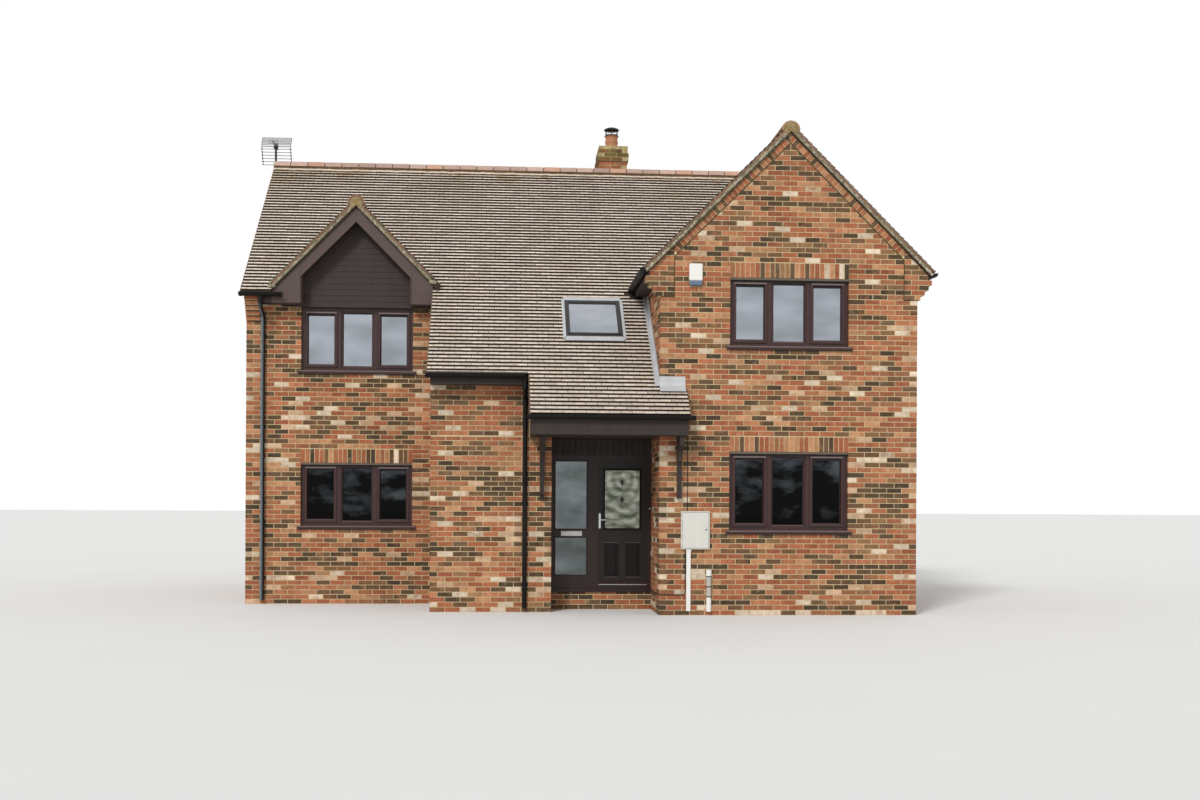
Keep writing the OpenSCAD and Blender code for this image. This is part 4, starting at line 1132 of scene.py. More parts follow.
def valley(x_mid, pitch, top_z, side, applies, upper=True):
    """Cut along a valley, for the main roof (upper) or for the roof that runs into it."""
    slope = tan(pitch) / tan(main_pitch)
    y_top = y_ridge - (ridge_z - top_z) / tan(main_pitch)
    outward = Vector((-side * slope, -1, 0)).normalized() * (1 if upper else -1)
    point = Vector((x_mid, y_top, 0)) - outward * valley_gap
    return tuple(point), tuple(outward), applies


def eaves_end(y_edge, applies):
    """Cut where the front slope ends over one gutter."""
    return (0, y_edge - overhang * cos(main_pitch), 0), (0, -1, 0), applies


dormer_ends = (x_dormer - dormer_half, x_step - verge)
dormer_feet = [y_ridge - (ridge_z - dormer_ridge_z + abs(x - x_dormer) * tan(dormer_pitch))
               / tan(main_pitch) for x in dormer_ends]
front_cuts = [
    eaves_end(y_left_eaves, lambda m: m[0] < x_step - verge),
    valley(*wing_roof, -1, lambda m: x_wing - 0.3 < m[0] <= x_wing_mid),
    valley(*wing_roof, 1, lambda m: m[0] > x_wing_mid),
    valley(*dormer_roof, -1, lambda m: m[0] <= x_dormer and m[1] > dormer_feet[0]),
    valley(*dormer_roof, 1, lambda m: x_dormer < m[0] < x_step and m[1] > dormer_feet[1]),
    ((dormer_ends[0], 0, 0), (1, 0, 0), lambda m: m[0] <= x_dormer and m[1] <= dormer_feet[0]),
    ((dormer_ends[1], 0, 0), (-1, 0, 0),
     lambda m: x_dormer < m[0] < x_step + 0.1 and m[1] <= dormer_feet[1]),
]
print("cuts in the front slope:", len(front_cuts))

# %% Tiles of the main roof
slope_up = (0, cos(main_pitch), sin(main_pitch))
canopy_edge = (0, y_canopy, main_z(y_canopy))


def on_slope(y):
    """How far up the front slope a line of Y lies, from the canopy's edge."""
    return (y - y_canopy) / cos(main_pitch)


v_left, v_mid, v_ridge = on_slope(y_left_eaves), on_slope(y_mid_eaves), on_slope(y_ridge)
lay_tiles("tiles_main_front", canopy_edge, (1, 0, 0), slope_up,
          [(x_left - verge, x_right + verge, v_left, v_ridge - below_ridge)], front_cuts, 71)
wing_foot, mid_foot, left_foot = (gauge * row for row in
                                  (6, int(v_mid / gauge), int(v_left / gauge)))
lay_tiles("tiles_catslide", canopy_edge, (1, 0, 0), slope_up,
          [(canopy_left, canopy_right, 0, wing_foot), (canopy_left, x_wing, wing_foot, mid_foot),
           (x_step - verge, x_wing, mid_foot, left_foot)],
          [eaves_end(y_mid_eaves, lambda m: m[0] < canopy_left)], 72)
lay_tiles("tiles_main_rear", (0, y_rear_eaves, main_z(y_rear_eaves)), (-1, 0, 0),
          (0, -cos(main_pitch), sin(main_pitch)),
          [(-x_right - verge, -x_left + verge, 0, v_ridge - v_left - below_ridge)], seed=73)

# %% Tiles of the wing and of the half-dormer


def lay_gable_roof(name, roof, half, y_edge, length, hang_over, seed):
    """Both slopes of a roof that runs back into the main roof."""
    x_mid, pitch, top_z = roof
    run = half / cos(pitch)
    for side, end in ((-1, "left"), (1, "right")):
        near, far_end = sorted((0, side * length))
        lay_tiles(f"{name}_{end}", (x_mid + side * half, y_edge, top_z - half * tan(pitch)),
                  (0, side, 0), (-side * cos(pitch), 0, sin(pitch)),
                  [(near, far_end, 0, run - below_ridge)],
                  [valley(*roof, side, everywhere, upper=False)], seed + (side > 0),
                  run / round(run / gauge), hang_over)


lay_gable_roof("tiles_wing", wing_roof, wing_half, y_front - verge, 4.9, overhang, 74)
lay_gable_roof("tiles_dormer", dormer_roof, dormer_half, y_dormer_front, 2.2, 0.0, 76)

# %% [markdown]
# ## Ridge tiles
# Each ridge carries half-round tiles 300 mm long, bedded in mortar, with a dark joint between
# them. A small rectangle is spun round the ridge's line for the shell, and copies of it follow
# each other along the ridge.

# %% Ridge tiles
ridge_r, ridge_tile_w = 0.125, 0.300


def half_round(length, radius, thickness=0.013, sweep=150, gap=0.016):
    """Corner offsets and faces of a half-round tile along X."""
    form = bmesh.new()
    bmesh.ops.create_grid(form, x_segments=1, y_segments=1, size=0.5)
    bmesh.ops.scale(form, verts=form.verts, vec=(length - gap, thickness, 1))
    bmesh.ops.translate(form, verts=form.verts, vec=(length / 2, radius + thickness / 2, 0))
    start = Matrix.Rotation(radians(90 - sweep / 2), 3, "X")
    bmesh.ops.rotate(form, verts=form.verts, cent=(0, 0, 0), matrix=start)
    bmesh.ops.spin(form, geom=form.faces[:], cent=(0, 0, 0), axis=(1, 0, 0),
                   angle=radians(sweep), steps=12)
    bmesh.ops.recalc_face_normals(form, faces=form.faces)
    corners, faces = corners_and_faces(form)
    return np.zeros_like(corners), corners, faces, np.zeros(len(faces))


def lay_ridge(name, start, along, length, seed):
    """Half-round tiles from one end of a ridge to the other."""
    rng = np.random.default_rng(seed)
    count = round(length / ridge_tile_w)
    shape = half_round(length / count, ridge_r)
    centres = [(i * length / count, rng.uniform(-0.001, 0.001), rng.uniform(-0.001, 0.002))
               for i in range(count)]
    axes = [along, np.cross((0, 0, 1), along), (0, 0, 1)]
    joined(name, shape, centres, [(1, 1, 1)] * count, axes, start, rng, ridge_clay)


lay_ridge("ridge_tiles_main", (x_left - verge, y_ridge, ridge_z + 0.085 - ridge_r), (1, 0, 0),
          x_right - x_left + 2 * verge, 81)
lay_ridge("ridge_tiles_wing", (x_wing_mid, y_front - verge, wing_ridge_z + 0.041 - ridge_r),
          (0, 1, 0), 4.60, 82)
lay_ridge("ridge_tiles_dormer", (x_dormer, y_dormer_front, dormer_ridge_z + 0.030 - ridge_r),
          (0, 1, 0), 1.70, 83)

# %% [markdown]
# ## Single pieces
# Fittings, mouldings and flashings are made one at a time. Many start from a box, a rod or a
# ring, and most boxes get their rounded edges from a bevel, since no real edge is perfectly
# sharp. Several shapes of the same finish can share one mesh. shaped turns the finished mesh into
# a piece.

# %% Boxes, rods and rings


def shaped(name, form, material, body="house", replaces=()):
    """Ends a mesh: turns its faces outwards and links it as a piece."""
    bmesh.ops.recalc_face_normals(form, faces=form.faces)
    mesh = bpy.data.meshes.new(name)
    form.to_mesh(mesh)
    form.free()
    piece = link_piece(name, mesh, material, body)
    if replaces:
        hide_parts(*replaces)
    print(f"{name}: {len(mesh.polygons)} faces")


def add_box(form, low, high, rounding=0.0015, steps=1):
    """A box between two corners, with its edges rounded."""
    verts = bmesh.ops.create_cube(form, size=1)["verts"]
    low, high = Vector(low), Vector(high)
    bmesh.ops.scale(form, verts=verts, vec=high - low)
    bmesh.ops.translate(form, verts=verts, vec=(low + high) / 2)
    if rounding:
        return rounded(form, list({e for v in verts for e in v.link_edges}), rounding, steps)
    return verts


def add_block(form, centre, axes, size):
    """A box whose sides follow three directions."""
    verts = bmesh.ops.create_cube(form, size=1)["verts"]
    for vert in verts:
        corner = centre
        for axis, part, length in zip(axes, vert.co, size):
            corner = corner + axis * part * length
        vert.co = corner
    return verts


def add_rod(form, start, end, radius, sides):
    """A round rod from one point to another."""
    start, end = Vector(start), Vector(end)
    turn = (end - start).to_track_quat("Z", "Y").to_matrix().to_4x4()
    bmesh.ops.create_cone(form, cap_ends=True, segments=sides, radius1=radius, radius2=radius,
                          depth=(end - start).length,
                          matrix=Matrix.Translation((start + end) / 2) @ turn)


def add_ring(form, corner, far_corner, profile, y_face, inwards=1, grow=0.0):
    """A mitred frame of one profile round a rectangle in X and Z that may first be grown.

    The profile is a closed row of steps: how far in from the rectangle, how far out of y_face.
    """
    low, high = [c - grow for c in corner], [c + grow for c in far_corner]
    first = bmesh.ops.create_circle(form, segments=len(profile), radius=1)["verts"]
    for vert, (inset, out) in zip(first, profile):
        vert.co = (low[0] + inset, y_face - inwards * out, low[1] + inset)
    verts, edges = first, list({edge for vert in first for edge in vert.link_edges})
    for axis in (0, 2, 0, 2):
        new = bmesh.ops.extrude_edge_only(form, edges=edges)["geom"]
        verts = [item for item in new if isinstance(item, bmesh.types.BMVert)]
        edges = [item for item in new if isinstance(item, bmesh.types.BMEdge)
                 and all(vert in verts for vert in item.verts)]
        total = low[axis // 2] + high[axis // 2]
        for vert in verts:
            vert.co[axis] = total - vert.co[axis]
    bmesh.ops.remove_doubles(form, verts=first + verts, dist=1e-6)


# %% [markdown]
# ## Verges
# Where the tiles end over a gable, their ends show as a brown stepped line of two layers. Below
# it the roofer pressed in a strip of mortar, now grey-green with moss and white spots, on a thin
# board called the undercloak. Each verge is one line from the eaves to the ridge, and the tile
# ends are laid along it like small bricks. The mortar is a grid pushed in and out by noise, so
# that it looks trowelled.

# %% Lines of the verges
over_y = overhang * cos(main_pitch)
y_right_valley = -1.680
wing_reach = wing_half + overhang * cos(wing_pitch)
dormer_reach = dormer_half + overhang * cos(dormer_pitch)
verge_lines = []
for x, out, lowest in ((x_left - verge, -1, y_left_eaves - over_y),
                       (x_right + verge, 1, y_right_valley)):
    for y in (lowest, y_rear_eaves + over_y):
        verge_lines.append(((x, y, main_z(y)), (x, y_ridge, ridge_z), (out, 0, 0)))
for x, start, end, out in ((x_step - verge, y_mid_eaves - over_y, y_left_eaves - over_y, -1),
                           (canopy_left, y_canopy - over_y, y_mid_eaves - over_y, -1),
                           (canopy_right, y_canopy - over_y, y_front, 1)):
    verge_lines.append(((x, start, main_z(start)), (x, end, main_z(end)), (out, 0, 0)))
for (x, pitch, top), y, side, reach in (
        (wing_roof, y_front - verge, -1, wing_reach), (wing_roof, y_front - verge, 1, wing_reach),
        (dormer_roof, y_dormer_front, -1, dormer_reach),
        (dormer_roof, y_dormer_front, 1, dormer_ends[1] - x_dormer)):
    verge_lines.append(((x + side * reach, y, top - reach * tan(pitch)), (x, y, top), (0, -1, 0)))
print("verges:", len(verge_lines))

# %% Tile ends, mortar and undercloak
cloak_low, cloak_high, mortar_high = -0.083, -0.076, -0.030
cloak_board, cloak_w = 0.9, 0.030
upper_layer, lower_layer = -0.0075, -0.0235
mortar_cell, mortar_t = 0.02, 0.02


def verge_axes(start, end, outward):
    """Along, up and outwards of one verge, and its length."""
    along = Vector(end) - Vector(start)
    length = along.length
    along.normalize()
    up = Vector(outward).cross(along)
    return along, up if up.z > 0 else -up, Vector(outward), length


def trowel(form, start, end, outward, low, high, depth):
    """A strip of mortar whose surface swells and sinks a few millimetres."""
    along, up, out, length = verge_axes(start, end, outward)
    made = bmesh.ops.create_grid(form, x_segments=ceil(length / mortar_cell), y_segments=4,
                                 size=0.5)
    for vert in made["verts"]:
        across = vert.co.y + 0.5
        point = Vector(start) + along * (vert.co.x + 0.5) * length
        point += up * (low + (high - low) * across + 0.007 * noise.noise(point * 9))
        full = 0.3 if across in (0, 1) else 1
        vert.co = point + out * (depth * full + 0.006 * noise.noise(point * 17)
                                 + 0.003 * noise.noise(point * 47))
    faces = list({f for v in made["verts"] for f in v.link_faces})
    back = bmesh.ops.extrude_face_region(form, geom=faces)["geom"]
    bmesh.ops.translate(form, verts=[v for v in back if isinstance(v, bmesh.types.BMVert)],
                        vec=-out * mortar_t)


rng = np.random.default_rng(91)
mortar_form, cloak_form = bmesh.new(), bmesh.new()
for number, (start, end, outward) in enumerate(verge_lines):
    along, up, out, length = verge_axes(start, end, outward)
    trowel(mortar_form, start, end, outward, cloak_high, mortar_high, 0.006)
    boards = max(1, round(length / cloak_board))
    for i in range(boards):
        centre = Vector(start) + along * (i + 0.5) * length / boards
        centre += up * (cloak_low + cloak_high) / 2 + out * -0.003
        add_block(cloak_form, centre, (along, up, out),
                  (length / boards - 0.003, cloak_high - cloak_low, cloak_w))
    count = round(length / gauge)
    step = length / count
    centres = [((i + 0.5) * step, upper_layer, rng.uniform(0.001, 0.005)) for i in range(count)]
    centres += [(i * step, lower_layer, rng.uniform(-0.004, 0.001)) for i in range(1, count)]
    joined(f"verge_tiles_{number + 1}", tile_box, centres,
           [(step / 2 - 0.001, 0.0072, 0.008)] * len(centres), [along, up, out], start, rng,
           tile_edge)
shaped("verge_mortar", mortar_form, verge_mortar)
shaped("verge_undercloak", cloak_form, cloak)

# %% [markdown]
# ## Bedding and ends of the ridges
# Under the ridge tiles the photograph shows a dark line and then a pale line of bedding mortar,
# so both are trowelled strips along the main ridge; the dark one is painted shadow. The open
# ends of the wing's and the half-dormer's ridges are filled with rough mortar, yellow with
# lichen, under the dark rim of the last tile. A lump is a sphere pressed flat and pushed in and
# out by noise.

# %% Painted shadow and bedding under the ridge, ridge ends and verge feet


def lump(form, centre, size, seed, cuts=()):
    """A rough lump of mortar, cut flat along planes given by a point and what lies outside."""
    made = bmesh.ops.create_uvsphere(form, u_segments=24, v_segments=14, radius=1)["verts"]
    for vert in made:
        point = vert.co + Vector((seed, 0, 0))
        rough = 1 + 0.09 * noise.noise(point * 2.3) + 0.05 * noise.noise(point * 6)
        vert.co = Vector(centre) + Vector([c * s * rough for c, s in zip(vert.co, size)])
    for point, outward in cuts:
        made = [vert for vert in made if vert.is_valid]
        geometry = made + list({item for v in made for item in (*v.link_edges, *v.link_faces)})
        edges, rest = slice_off(form, geometry, point, outward)
        made = [item for item in rest if isinstance(item, bmesh.types.BMVert)]
        bmesh.ops.holes_fill(form, edges=edges, sides=0)


pale_form, ridge_shadow_form, end_form, foot_form = (bmesh.new() for _ in range(4))
shadow_low, bedding_low = -0.050, -0.082
for side in (-1, 1):
    y = y_ridge + side * (ridge_r + 0.001)
    start, end = (x_left - verge, y, ridge_z), (x_right + verge, y, ridge_z)
    # The dark strip right under the ridge tiles is painted shadow.
    trowel(ridge_shadow_form, start, end, (0, side, 0), shadow_low, 0.002, 0.001)
    trowel(pale_form, start, end, (0, side, 0), bedding_low, shadow_low, 0.008)
shaped("ridge_shadow_line", ridge_shadow_form, ridge_shadow_bed)
shaped("ridge_bedding", pale_form, pale_bed)
rim = half_round(0.026, 0.108, 0.025, 190, 0)
rng = np.random.default_rng(95)
for number, ((x, pitch, top), y) in enumerate(((wing_roof, y_front - verge),
                                               (dormer_roof, y_dormer_front))):
    for side in (-1, 1):
        under_mortar = ((x, y, top + cloak_high / cos(pitch)),
                        (-side * sin(pitch), 0, -cos(pitch)))
        lump(end_form, (x, y - 0.002, top - 0.074), (0.106, 0.030, 0.104), 3 * number,
             [((x, y, top), (-side, 0, 0)), under_mortar])
    joined(f"ridge_end_rim_{number + 1}", rim, [(0, 0, 0)], [(1, 1, 1)],
           [(0, 1, 0), (-1, 0, 0), (0, 0, 1)], (x, y - 0.012, top - 0.084 + 0.010 * number), rng,
           tile_edge)
for x in dormer_ends:
    foot = dormer_ridge_z - abs(x - x_dormer) * tan(dormer_pitch)
    lump(foot_form, (x, y_dormer_front - 0.002, foot - 0.068), (0.062, 0.018, 0.034), x)
shaped("ridge_end_mortar", end_form, end_mortar)
shaped("verge_foot_mortar", foot_form, verge_mortar)

# %% [markdown]
# Two dark lines are left. In the open joint under the wing's bands and round their kneelers lie
# rods of a dark mossy finish, partly moss and partly painted shadow of the proud band. Under each
# corbelled course of the main roof's kneelers a thin dark box in the joint is painted shadow, the
# shadow that the course above casts.

# %% Moss and painted shadow under the wing's bands
form = bmesh.new()
drop = slab_depth(wing_pitch) + band_h
kneeler_low, kneeler_y, pieces = 4.648, y_front - 0.006, 12
for side in (-1, 1):
    for i in range(pieces):
        start, end = ((x_wing_mid + side * d, y_front - 0.008, wing_z(d) - drop - 0.004)
                      for d in (band_half * k / pieces for k in (i, i + 1)))
        add_rod(form, start, end, 0.007, 8)
    x, x_out = x_wing_mid + side * band_half, x_wing_mid + side * half_wing
    foot = (x, kneeler_y, kneeler_low)
    add_rod(form, foot, (x, kneeler_y, wing_z(band_half) - drop), 0.0055, 8)
    add_rod(form, foot, (x_out, kneeler_y, kneeler_low), 0.0055, 8)
# The moss line's dark colour is moss and painted shadow under the proud band.
moss_and_shadow_line = bed_material("moss_and_shadow_line", "3E3D26", "55532F", 0.3)
shaped("band_moss_and_shadow", form, moss_and_shadow_line)

# %% Painted shadows under the courses of the main roof's kneelers
form = bmesh.new()
joint_near, joint_deep = 0.0414, 0.0598
# Each box is painted shadow under one corbelled course.
for x0, x1, y0, y1, low, high in kneeler_bricks:
    face, side = (y0, 1) if y0 < 0 else (y1, -1)
    near, deep = sorted((face + side * joint_near, face + side * joint_deep))
    add_box(form, (x0 + 0.001, near, low - 0.018), (x1 - 0.001, deep, low + 0.001))
shaped("kneeler_joint_shadows", form, kneeler_shadow)

# %% [markdown]
# ## Chimney
# The chimney stands just behind the ridge. Its four faces are laid like the walls, the top
# courses step out in two oversails that are green with moss, and sheet lead closes the joint to
# the tiles. The clay pot is one profile spun round its axis, and the black cowl is two rings, a
# cage of bars and a domed lid.

# %% Bricks of the chimney
stack_x0, stack_x1 = 0.747, 1.258
stack_y0, stack_y1 = y_ridge + 0.340, y_ridge + 1.240
shaft_foot, stack_cap, stack_top = 6.525, ridge_z + 0.320, ridge_z + 0.602
oversail_top = stack_cap + 2 * course
above_rear = ((0, y_ridge, ridge_z - 0.020), (0, -sin(main_pitch), -cos(main_pitch)), everywhere)


def lay_stack(name, out, low, high, material, cuts=(), seed=1, shades=1.0):
    """The four faces of the stack between two levels, stepped out from the shaft."""
    x0, x1, y0, y1 = stack_x0 - out, stack_x1 + out, stack_y0 - out, stack_y1 + out
    faces = [((x0, y0), (1, 0), x1 - x0), ((x1, y0), (0, 1), y1 - y0),
             ((x1, y1), (-1, 0), x1 - x0), ((x0, y1), (0, -1), y1 - y0)]
    for number, (origin, along, width) in enumerate(faces):
        lay_bricks(f"{name}_{number + 1}", origin, along, width, [(0, width, low, high)],
                   first=number % 2, cuts=cuts, seed=seed + number, material=material,
                   shades=shades)


lay_stack("chimney_shaft", 0, shaft_foot, stack_cap, brick, [above_rear], 101, 0.53)
lay_stack("chimney_oversail", 0.025, stack_cap, oversail_top, mossy_brick, seed=105)
lay_stack("chimney_top", 0.012, oversail_top, stack_top - 0.045, mossy_brick, seed=109)

# %% Pot and cowl
pot_x, pot_y = (stack_x0 + stack_x1) / 2, (stack_y0 + stack_y1) / 2
cage_bars, cage_r = 12, 0.1115


def spun(form, profile, sides=40):
    """Spins a closed profile of radius and height round the pot's axis."""
    verts = [form.verts.new((pot_x + r, pot_y, stack_top + z)) for r, z in profile]
    edges = [form.edges.new(pair) for pair in zip(verts, verts[1:] + verts[:1])]
    bmesh.ops.spin(form, geom=verts + edges, cent=(pot_x, pot_y, 0), axis=(0, 0, 1),
                   angle=2 * pi, steps=sides, use_merge=True)


form = bmesh.new()
spun(form, [(0.096, -0.02), (0.128, -0.02), (0.120, 0.004), (0.116, 0.030), (0.114, 0.150),
            (0.119, 0.158), (0.122, 0.168), (0.122, 0.186), (0.119, 0.196), (0.114, 0.204),
            (0.113, 0.262), (0.121, 0.270), (0.126, 0.280), (0.126, 0.292), (0.120, 0.300),
            (0.100, 0.300), (0.096, 0.290)])
shaped("clay_pot", form, terracotta, replaces=["chimney_pot"])
form = bmesh.new()
spun(form, [(0.104, 0.299), (0.132, 0.286), (0.136, 0.292), (0.124, 0.309), (0.104, 0.311)])
spun(form, [(0.107, 0.408), (0.140, 0.402), (0.146, 0.408), (0.138, 0.419), (0.112, 0.434),
            (0.070, 0.449), (0.014, 0.456), (0.012, 0.450), (0.068, 0.443), (0.106, 0.428)])
spun(form, [(0.109, 0.355), (0.114, 0.355), (0.114, 0.360), (0.109, 0.360)])
for i in range(cage_bars):
    angle = 2 * pi * i / cage_bars
    x, y = pot_x + cage_r * cos(angle), pot_y + cage_r * sin(angle)
    add_rod(form, (x, y, stack_top + 0.303), (x, y, stack_top + 0.412),
            0.007 if i % 3 == 0 else 0.003, 6)
shaped("cowl", form, dark_metal)
form = bmesh.new()
spun(form, [(0.098, -0.03), (0.225, -0.03), (0.215, -0.006), (0.160, 0.022), (0.122, 0.034),
            (0.098, 0.034)])
shaped("pot_flaunching", form, chimney_mortar)

# %% Lead round the chimney
form = bmesh.new()
lead_steps = 6
for x, out in ((stack_x0, -1), (stack_x1, 1)):
    x0, x1 = sorted((x - out * 0.002, x + out * 0.008))
    for i in range(lead_steps):
        y0, y1 = (stack_y0 + (stack_y1 - stack_y0) * k / lead_steps for k in (i, i + 1))
        add_box(form, (x0, y0 - 0.01, main_z(y1) - 0.02), (x1, y1, main_z(y0) + 0.075))
for y, out, height in ((stack_y0, -1, 0.150), (stack_y1, 1, 0.120)):
    near, deep = sorted((y + out * 0.010, y - out * 0.004))
    add_box(form, (stack_x0 - 0.008, near, main_z(y) - 0.02),
            (stack_x1 + 0.008, deep, main_z(y) + height))
shaped("chimney_lead", form, lead)

# %% [markdown]
# ## Aerial
# The aerial's mast stands at the left end of the ridge. The CAD node has its rods and side
# plates. The clamp that holds the boom, the fine mesh of the upper reflector and the dark caps
# on the ends of the lower rods are added here.

# %% Clamp, mesh and rod caps
mast_x, boom_z, rod_half, rod_pitch = x_left - 0.025, ridge_z + 0.370, 0.265, 0.028
bolt_y = y_ridge - 0.020
form = bmesh.new()
add_rod(form, (mast_x, y_ridge, ridge_z + 0.060), (mast_x, y_ridge, boom_z + 0.020), 0.020, 20)
add_box(form, (mast_x - 0.034, y_ridge - 0.030, boom_z - 0.055),
        (mast_x + 0.034, y_ridge + 0.030, boom_z + 0.045), 0.006, 2)
for z in (boom_z - 0.035, boom_z + 0.025):
    add_rod(form, (mast_x - 0.045, bolt_y, z), (mast_x + 0.045, bolt_y, z), 0.006, 8)
shaped("mast_clamp", form, dark_metal)
form = bmesh.new()
low, high = (y_ridge + 0.030, boom_z + 0.035), (y_ridge + 0.142, boom_z + 0.187)
for i in range(15):
    x = mast_x - rod_half + 0.012 + i * (2 * rod_half - 0.024) / 14
    add_rod(form, (x, *low), (x, *high), 0.003, 6)
wire_half = rod_half - 0.004
for i in range(4):
    y, z = (a + (b - a) * (i + 0.5) / 4 for a, b in zip(low, high))
    add_rod(form, (mast_x - wire_half, y, z), (mast_x + wire_half, y, z), 0.003, 6)
shaped("aerial_mesh", form, aluminium)
form = bmesh.new()
for i in range(6):
    y, z = y_ridge + 0.030 + i * rod_pitch, boom_z - 0.045 - i * 0.050
    for side in (-1, 1):
        add_rod(form, (mast_x + side * (rod_half - 0.026), y, z), (mast_x + side * rod_half, y, z),
                0.0095, 10)
shaped("rod_caps", form, rubber)

# %% [markdown]
# ## Lead on the roofs
# Lead closes every joint between a roof and a wall. A cover strip runs up the wing's left wall
# above the tiles of the catslide, and an apron lies where the porch roof passes in front of the
# wing. In the valleys lead lies as a gutter in the gap between the two sets of tiles. Each is a
# thin sheet through rows of points, folded along its length, and solidify gives it its
# thickness.

# %% Cover strip and apron


def add_sheet(form, rows, thickness=0.003):
    """A thin folded sheet through rows of points; rows run across the fold."""
    grid = [[form.verts.new(p) for p in row] for row in rows]
    faces = [form.faces.new((a[i], a[i + 1], b[i + 1], b[i])) for a, b in zip(grid, grid[1:])
             for i in range(len(a) - 1)]
    bmesh.ops.recalc_face_normals(form, faces=faces)
    bmesh.ops.solidify(form, geom=faces, thickness=thickness)


form = bmesh.new()
cover_end, lead_lift = -2.06, 0.046
cover = []
for i in range(15):
    y = y_front + (cover_end - y_front) * i / 14
    z = main_z(y) + lead_lift
    wave = 0.003 * noise.noise(Vector((0, y * 4, 0)))
    cover.append([(x_wing - 0.007, y, z + 0.125), (x_wing - 0.009 - wave, y, z + 0.060),
                  (x_wing - 0.010, y, z + 0.006), (x_wing - 0.020, y, z - 0.002),
                  (x_wing - 0.075, y, z - 0.006 + wave)])
add_sheet(form, cover)
z = main_z(y_front) + lead_lift
apron = []
for x in (x_wing - 0.012, x_wing + 0.09, x_wing + 0.18, x_wing + 0.28, canopy_right - 0.020):
    wave = 0.003 * noise.noise(Vector((x * 6, 3, 0)))
    apron.append([(x, y_front - 0.007, z + 0.140), (x, y_front - 0.009 - wave, z + 0.050),
                  (x, y_front - 0.016, z + 0.006), (x, y_front - 0.060, z - 0.034 + wave),
                  (x, y_front - 0.115, z - 0.083)])
add_sheet(form, apron)
shaped("wall_lead", form, lead)

# %% Valleys
form = bmesh.new()
right_reach = x_right + verge - x_wing_mid
for (x_mid, pitch, top), reaches in ((wing_roof, (wing_half - 0.05, right_reach)),
                                     (dormer_roof, (dormer_half, dormer_half))):
    for side, reach in zip((-1, 1), reaches):
        rows = []
        for i in range(9):
            d = reach * i / 8 + 0.02
            z = top - d * tan(pitch)
            x, y = x_mid + side * d, y_ridge - (ridge_z - z) / tan(main_pitch)
            rows.append([(x + side * 0.055, y, z + 0.004), (x, y, z + 0.008),
                         (x - side * 0.012, y - 0.060, z + 0.012 + 0.012 * tan(pitch))])
        add_sheet(form, rows, 0.002)
shaped("valley_lead", form, lead)

# %% [markdown]
# ## Windows
# Each light of a window has a glazing bead and a black rubber seal between frame and glass,
# which the plain CAD frames leave out. Both are rings of one profile with mitred corners, so the
# same few lines make them for all eight windows, the side light and the door. Thin bars add what
# catches the eye from the ground: the steel lintel's edge; black bars of painted shadow under the
# lintel, under the sill and at the head of each pane, where the seal adds to it; pale bars of
# painted highlight on the sill's nose and the lower beads; and a painted sheen on the heads of
# the side casements.

# %% Sizes of the windows
frame_w, mullion_w, sash_w, bead_w = 0.050, 0.056, 0.044, 0.020
sill_t, reveal_depth, glass_in = 0.043, 0.060, 0.040
light_w = (window_w - 2 * frame_w - 2 * mullion_w) / 3
windows = [(x_dormer, y_left, 1, lower_sill, window_h),
           (x_dormer, y_left, 1, dormer_sill, window_h),
           (x_wing_mid, y_front, 1, lower_sill, tall_window_h),
           (x_wing_mid, y_front, 1, upper_sill, window_h)]
windows += [(x, y_rear, -1, z, window_h) for x in (x_dormer, x_wing_mid)
            for z in (lower_sill, dormer_sill)]
print("windows:", len(windows), "lights", round(light_w, 3), "wide")


def window_bar(form, window, left, right, near, deep, low, high):
    """A small bar of one window; near and deep are measured into the wall from its face."""
    x_mid, y_face, inwards = window[:3]
    y0, y1 = sorted((y_face + inwards * near, y_face + inwards * deep))
    add_box(form, (x_mid + left, y0, low), (x_mid + right, y1, high))


